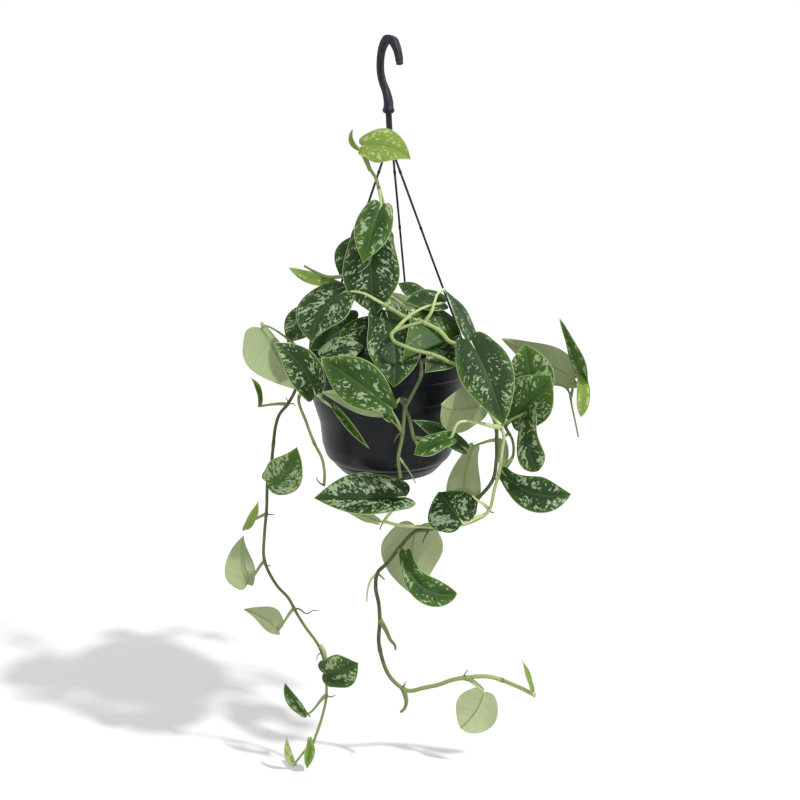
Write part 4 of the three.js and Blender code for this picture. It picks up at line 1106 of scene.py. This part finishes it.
HEAD_OUTLINE = [(0, -3.3), (2.4, -3.3), (2.7, -1.5), (2.0, -0.3), (0, -0.3)]    # from the lug's foot


def band_section(turn):
    """A rounded rectangle, HOOK_WIDTH across and HOOK_BAND in the hook's plane."""
    across = np.abs(np.cos(turn) * HOOK_BAND / HOOK_WIDTH) ** HOOK_SQUARE
    return 1 / (across + np.abs(np.sin(turn)) ** HOOK_SQUARE) ** (1 / HOOK_SQUARE)


def make_hook():
    """The hook's band, its collar, the stem below it and the block where the strands part."""
    hook = Shape()
    flat = smooth_line([(x, 0, z) for x, z in HOOK_LINE], 0.9)
    cos, sin = math.cos(HOOK_TURN), math.sin(HOOK_TURN)
    line = np.stack([flat[:, 0] * cos, flat[:, 0] * sin, flat[:, 2]], 1)
    run = along(line) / along(line)[-1]
    thick = (1 + (HOOK_CROWN - 1) * np.exp(-((run - CROWN_AT) / CROWN_SPAN) ** 2)
             + (HOOK_ROOT - 1) * np.exp(-(run / ROOT_SPAN) ** 2))
    radii = HOOK_BAND / 2 * np.where(run > TIP_FROM, TIP_SHARE, thick)
    tube(hook, line, radii, sides=40, section=band_section, top=(-sin, cos, 0))
    lathe(hook, rounded(COLLAR_OUTLINE, radius=0.6), sides=48, at=(COLLAR_X, 0))
    stem = np.array([[COLLAR_X, 0, COLLAR_FOOT + 2], [SPLIT_X, 0, SPLIT_Z + 3]], float)
    tube(hook, even(stem, 3), STEM_R, sides=24)
    lathe(hook, rounded(SPLIT_OUTLINE, radius=0.5), sides=40, at=(SPLIT_X, 0))
    place_piece(merged(hook.object("hook_body", [HANGER_LOOK])), "hook")


def make_strand(name, socket_turn, lug_turn):
    """A strand from the block to a lug, with its two nubs and the head below the lug."""
    strand = Shape()
    x, y = step_to(socket_turn, SOCKET_REACH)
    x += SPLIT_X
    lug_x, lug_y = step_to(lug_turn, LUG_R)
    lug_top, lug_foot = RIM_TOP - 1, RIM_TOP - 4
    start, end = np.array([x, y, SPLIT_Z + 0.5]), np.array([lug_x, lug_y, lug_top + 2])
    route = [(x, y, SPLIT_Z + 4.2)]
    route += [start + (end - start) * k for k in (0, 0.03, 0.5, 0.97)]
    route += [(lug_x, lug_y, lug_top), (lug_x, lug_y, lug_foot - 2)]
    line = smooth_line(route, 1.5)
    nubs = sum(np.exp(-((line[:, 2] - z) / NUB_SPAN) ** 2) for z in NUB_HEIGHTS)
    tube(strand, line, STRAND_R + (NUB_R - STRAND_R) * nubs, sides=14)
    head = [(radius, lug_foot + height) for radius, height in HEAD_OUTLINE]
    lathe(strand, rounded(head, radius=0.4), sides=24, at=(lug_x, lug_y))
    place_piece(merged(strand.object(name + "_wire", [HANGER_LOOK])), name)


make_hook()
for name, (socket_turn, lug_turn) in STRANDS.items():
    make_strand(name, socket_turn, lug_turn)


# ---- stage, light, camera
FLOOR_GREY = 0.68
SUN_PATH = (-0.79, 0.43, -1)   # the way that the key light travels
SUN_STRENGTH, SUN_ANGLE = 2.6, 3
CAMERA_PLACE = (11.5, -880, -146.1)
LOOK_DOWN = 12.1               # degrees below level
SENSOR_MM, LENS_MM = 36, 40.5


def make_stage():
    """A plain pale floor below the plant, very wide."""
    bpy.ops.mesh.primitive_plane_add(size=400, location=(0, 0, FLOOR_Z * MM))
    floor = bpy.context.object
    floor.name = "floor"
    n = Nodes("pale_floor")
    floor.data.materials.append(n.finish((*[FLOOR_GREY] * 3, 1), 0.9, Specular_IOR_Level=0.0))


def make_light():
    """A white studio all round, and one soft key light from the upper right in front."""
    world = bpy.data.worlds.new("studio")
    bpy.context.scene.world = world
    world.use_nodes = True
    back = world.node_tree.nodes["Background"]
    back.inputs["Color"].default_value = (1, 1, 1, 1)
    back.inputs["Strength"].default_value = 1.0
    data = bpy.data.lights.new("key", "SUN")
    data.energy = SUN_STRENGTH
    data.angle = math.radians(SUN_ANGLE)
    key = bpy.data.objects.new("key", data)
    bpy.context.scene.collection.objects.link(key)
    key.rotation_euler = Vector(SUN_PATH).to_track_quat("-Z", "Y").to_euler()
    bpy.context.scene.view_settings.view_transform = "Standard"


def make_camera():
    """The photograph's view: from the front, looking down on the pot's rim."""
    data = bpy.data.cameras.new("camera")
    data.sensor_width = SENSOR_MM
    data.lens = LENS_MM
    camera = bpy.data.objects.new("camera", data)
    bpy.context.scene.collection.objects.link(camera)
    camera.location = [value * MM for value in CAMERA_PLACE]
    camera.rotation_euler = (math.radians(90 - LOOK_DOWN), 0, 0)
    bpy.context.scene.camera = camera


make_stage()
make_light()
make_camera()
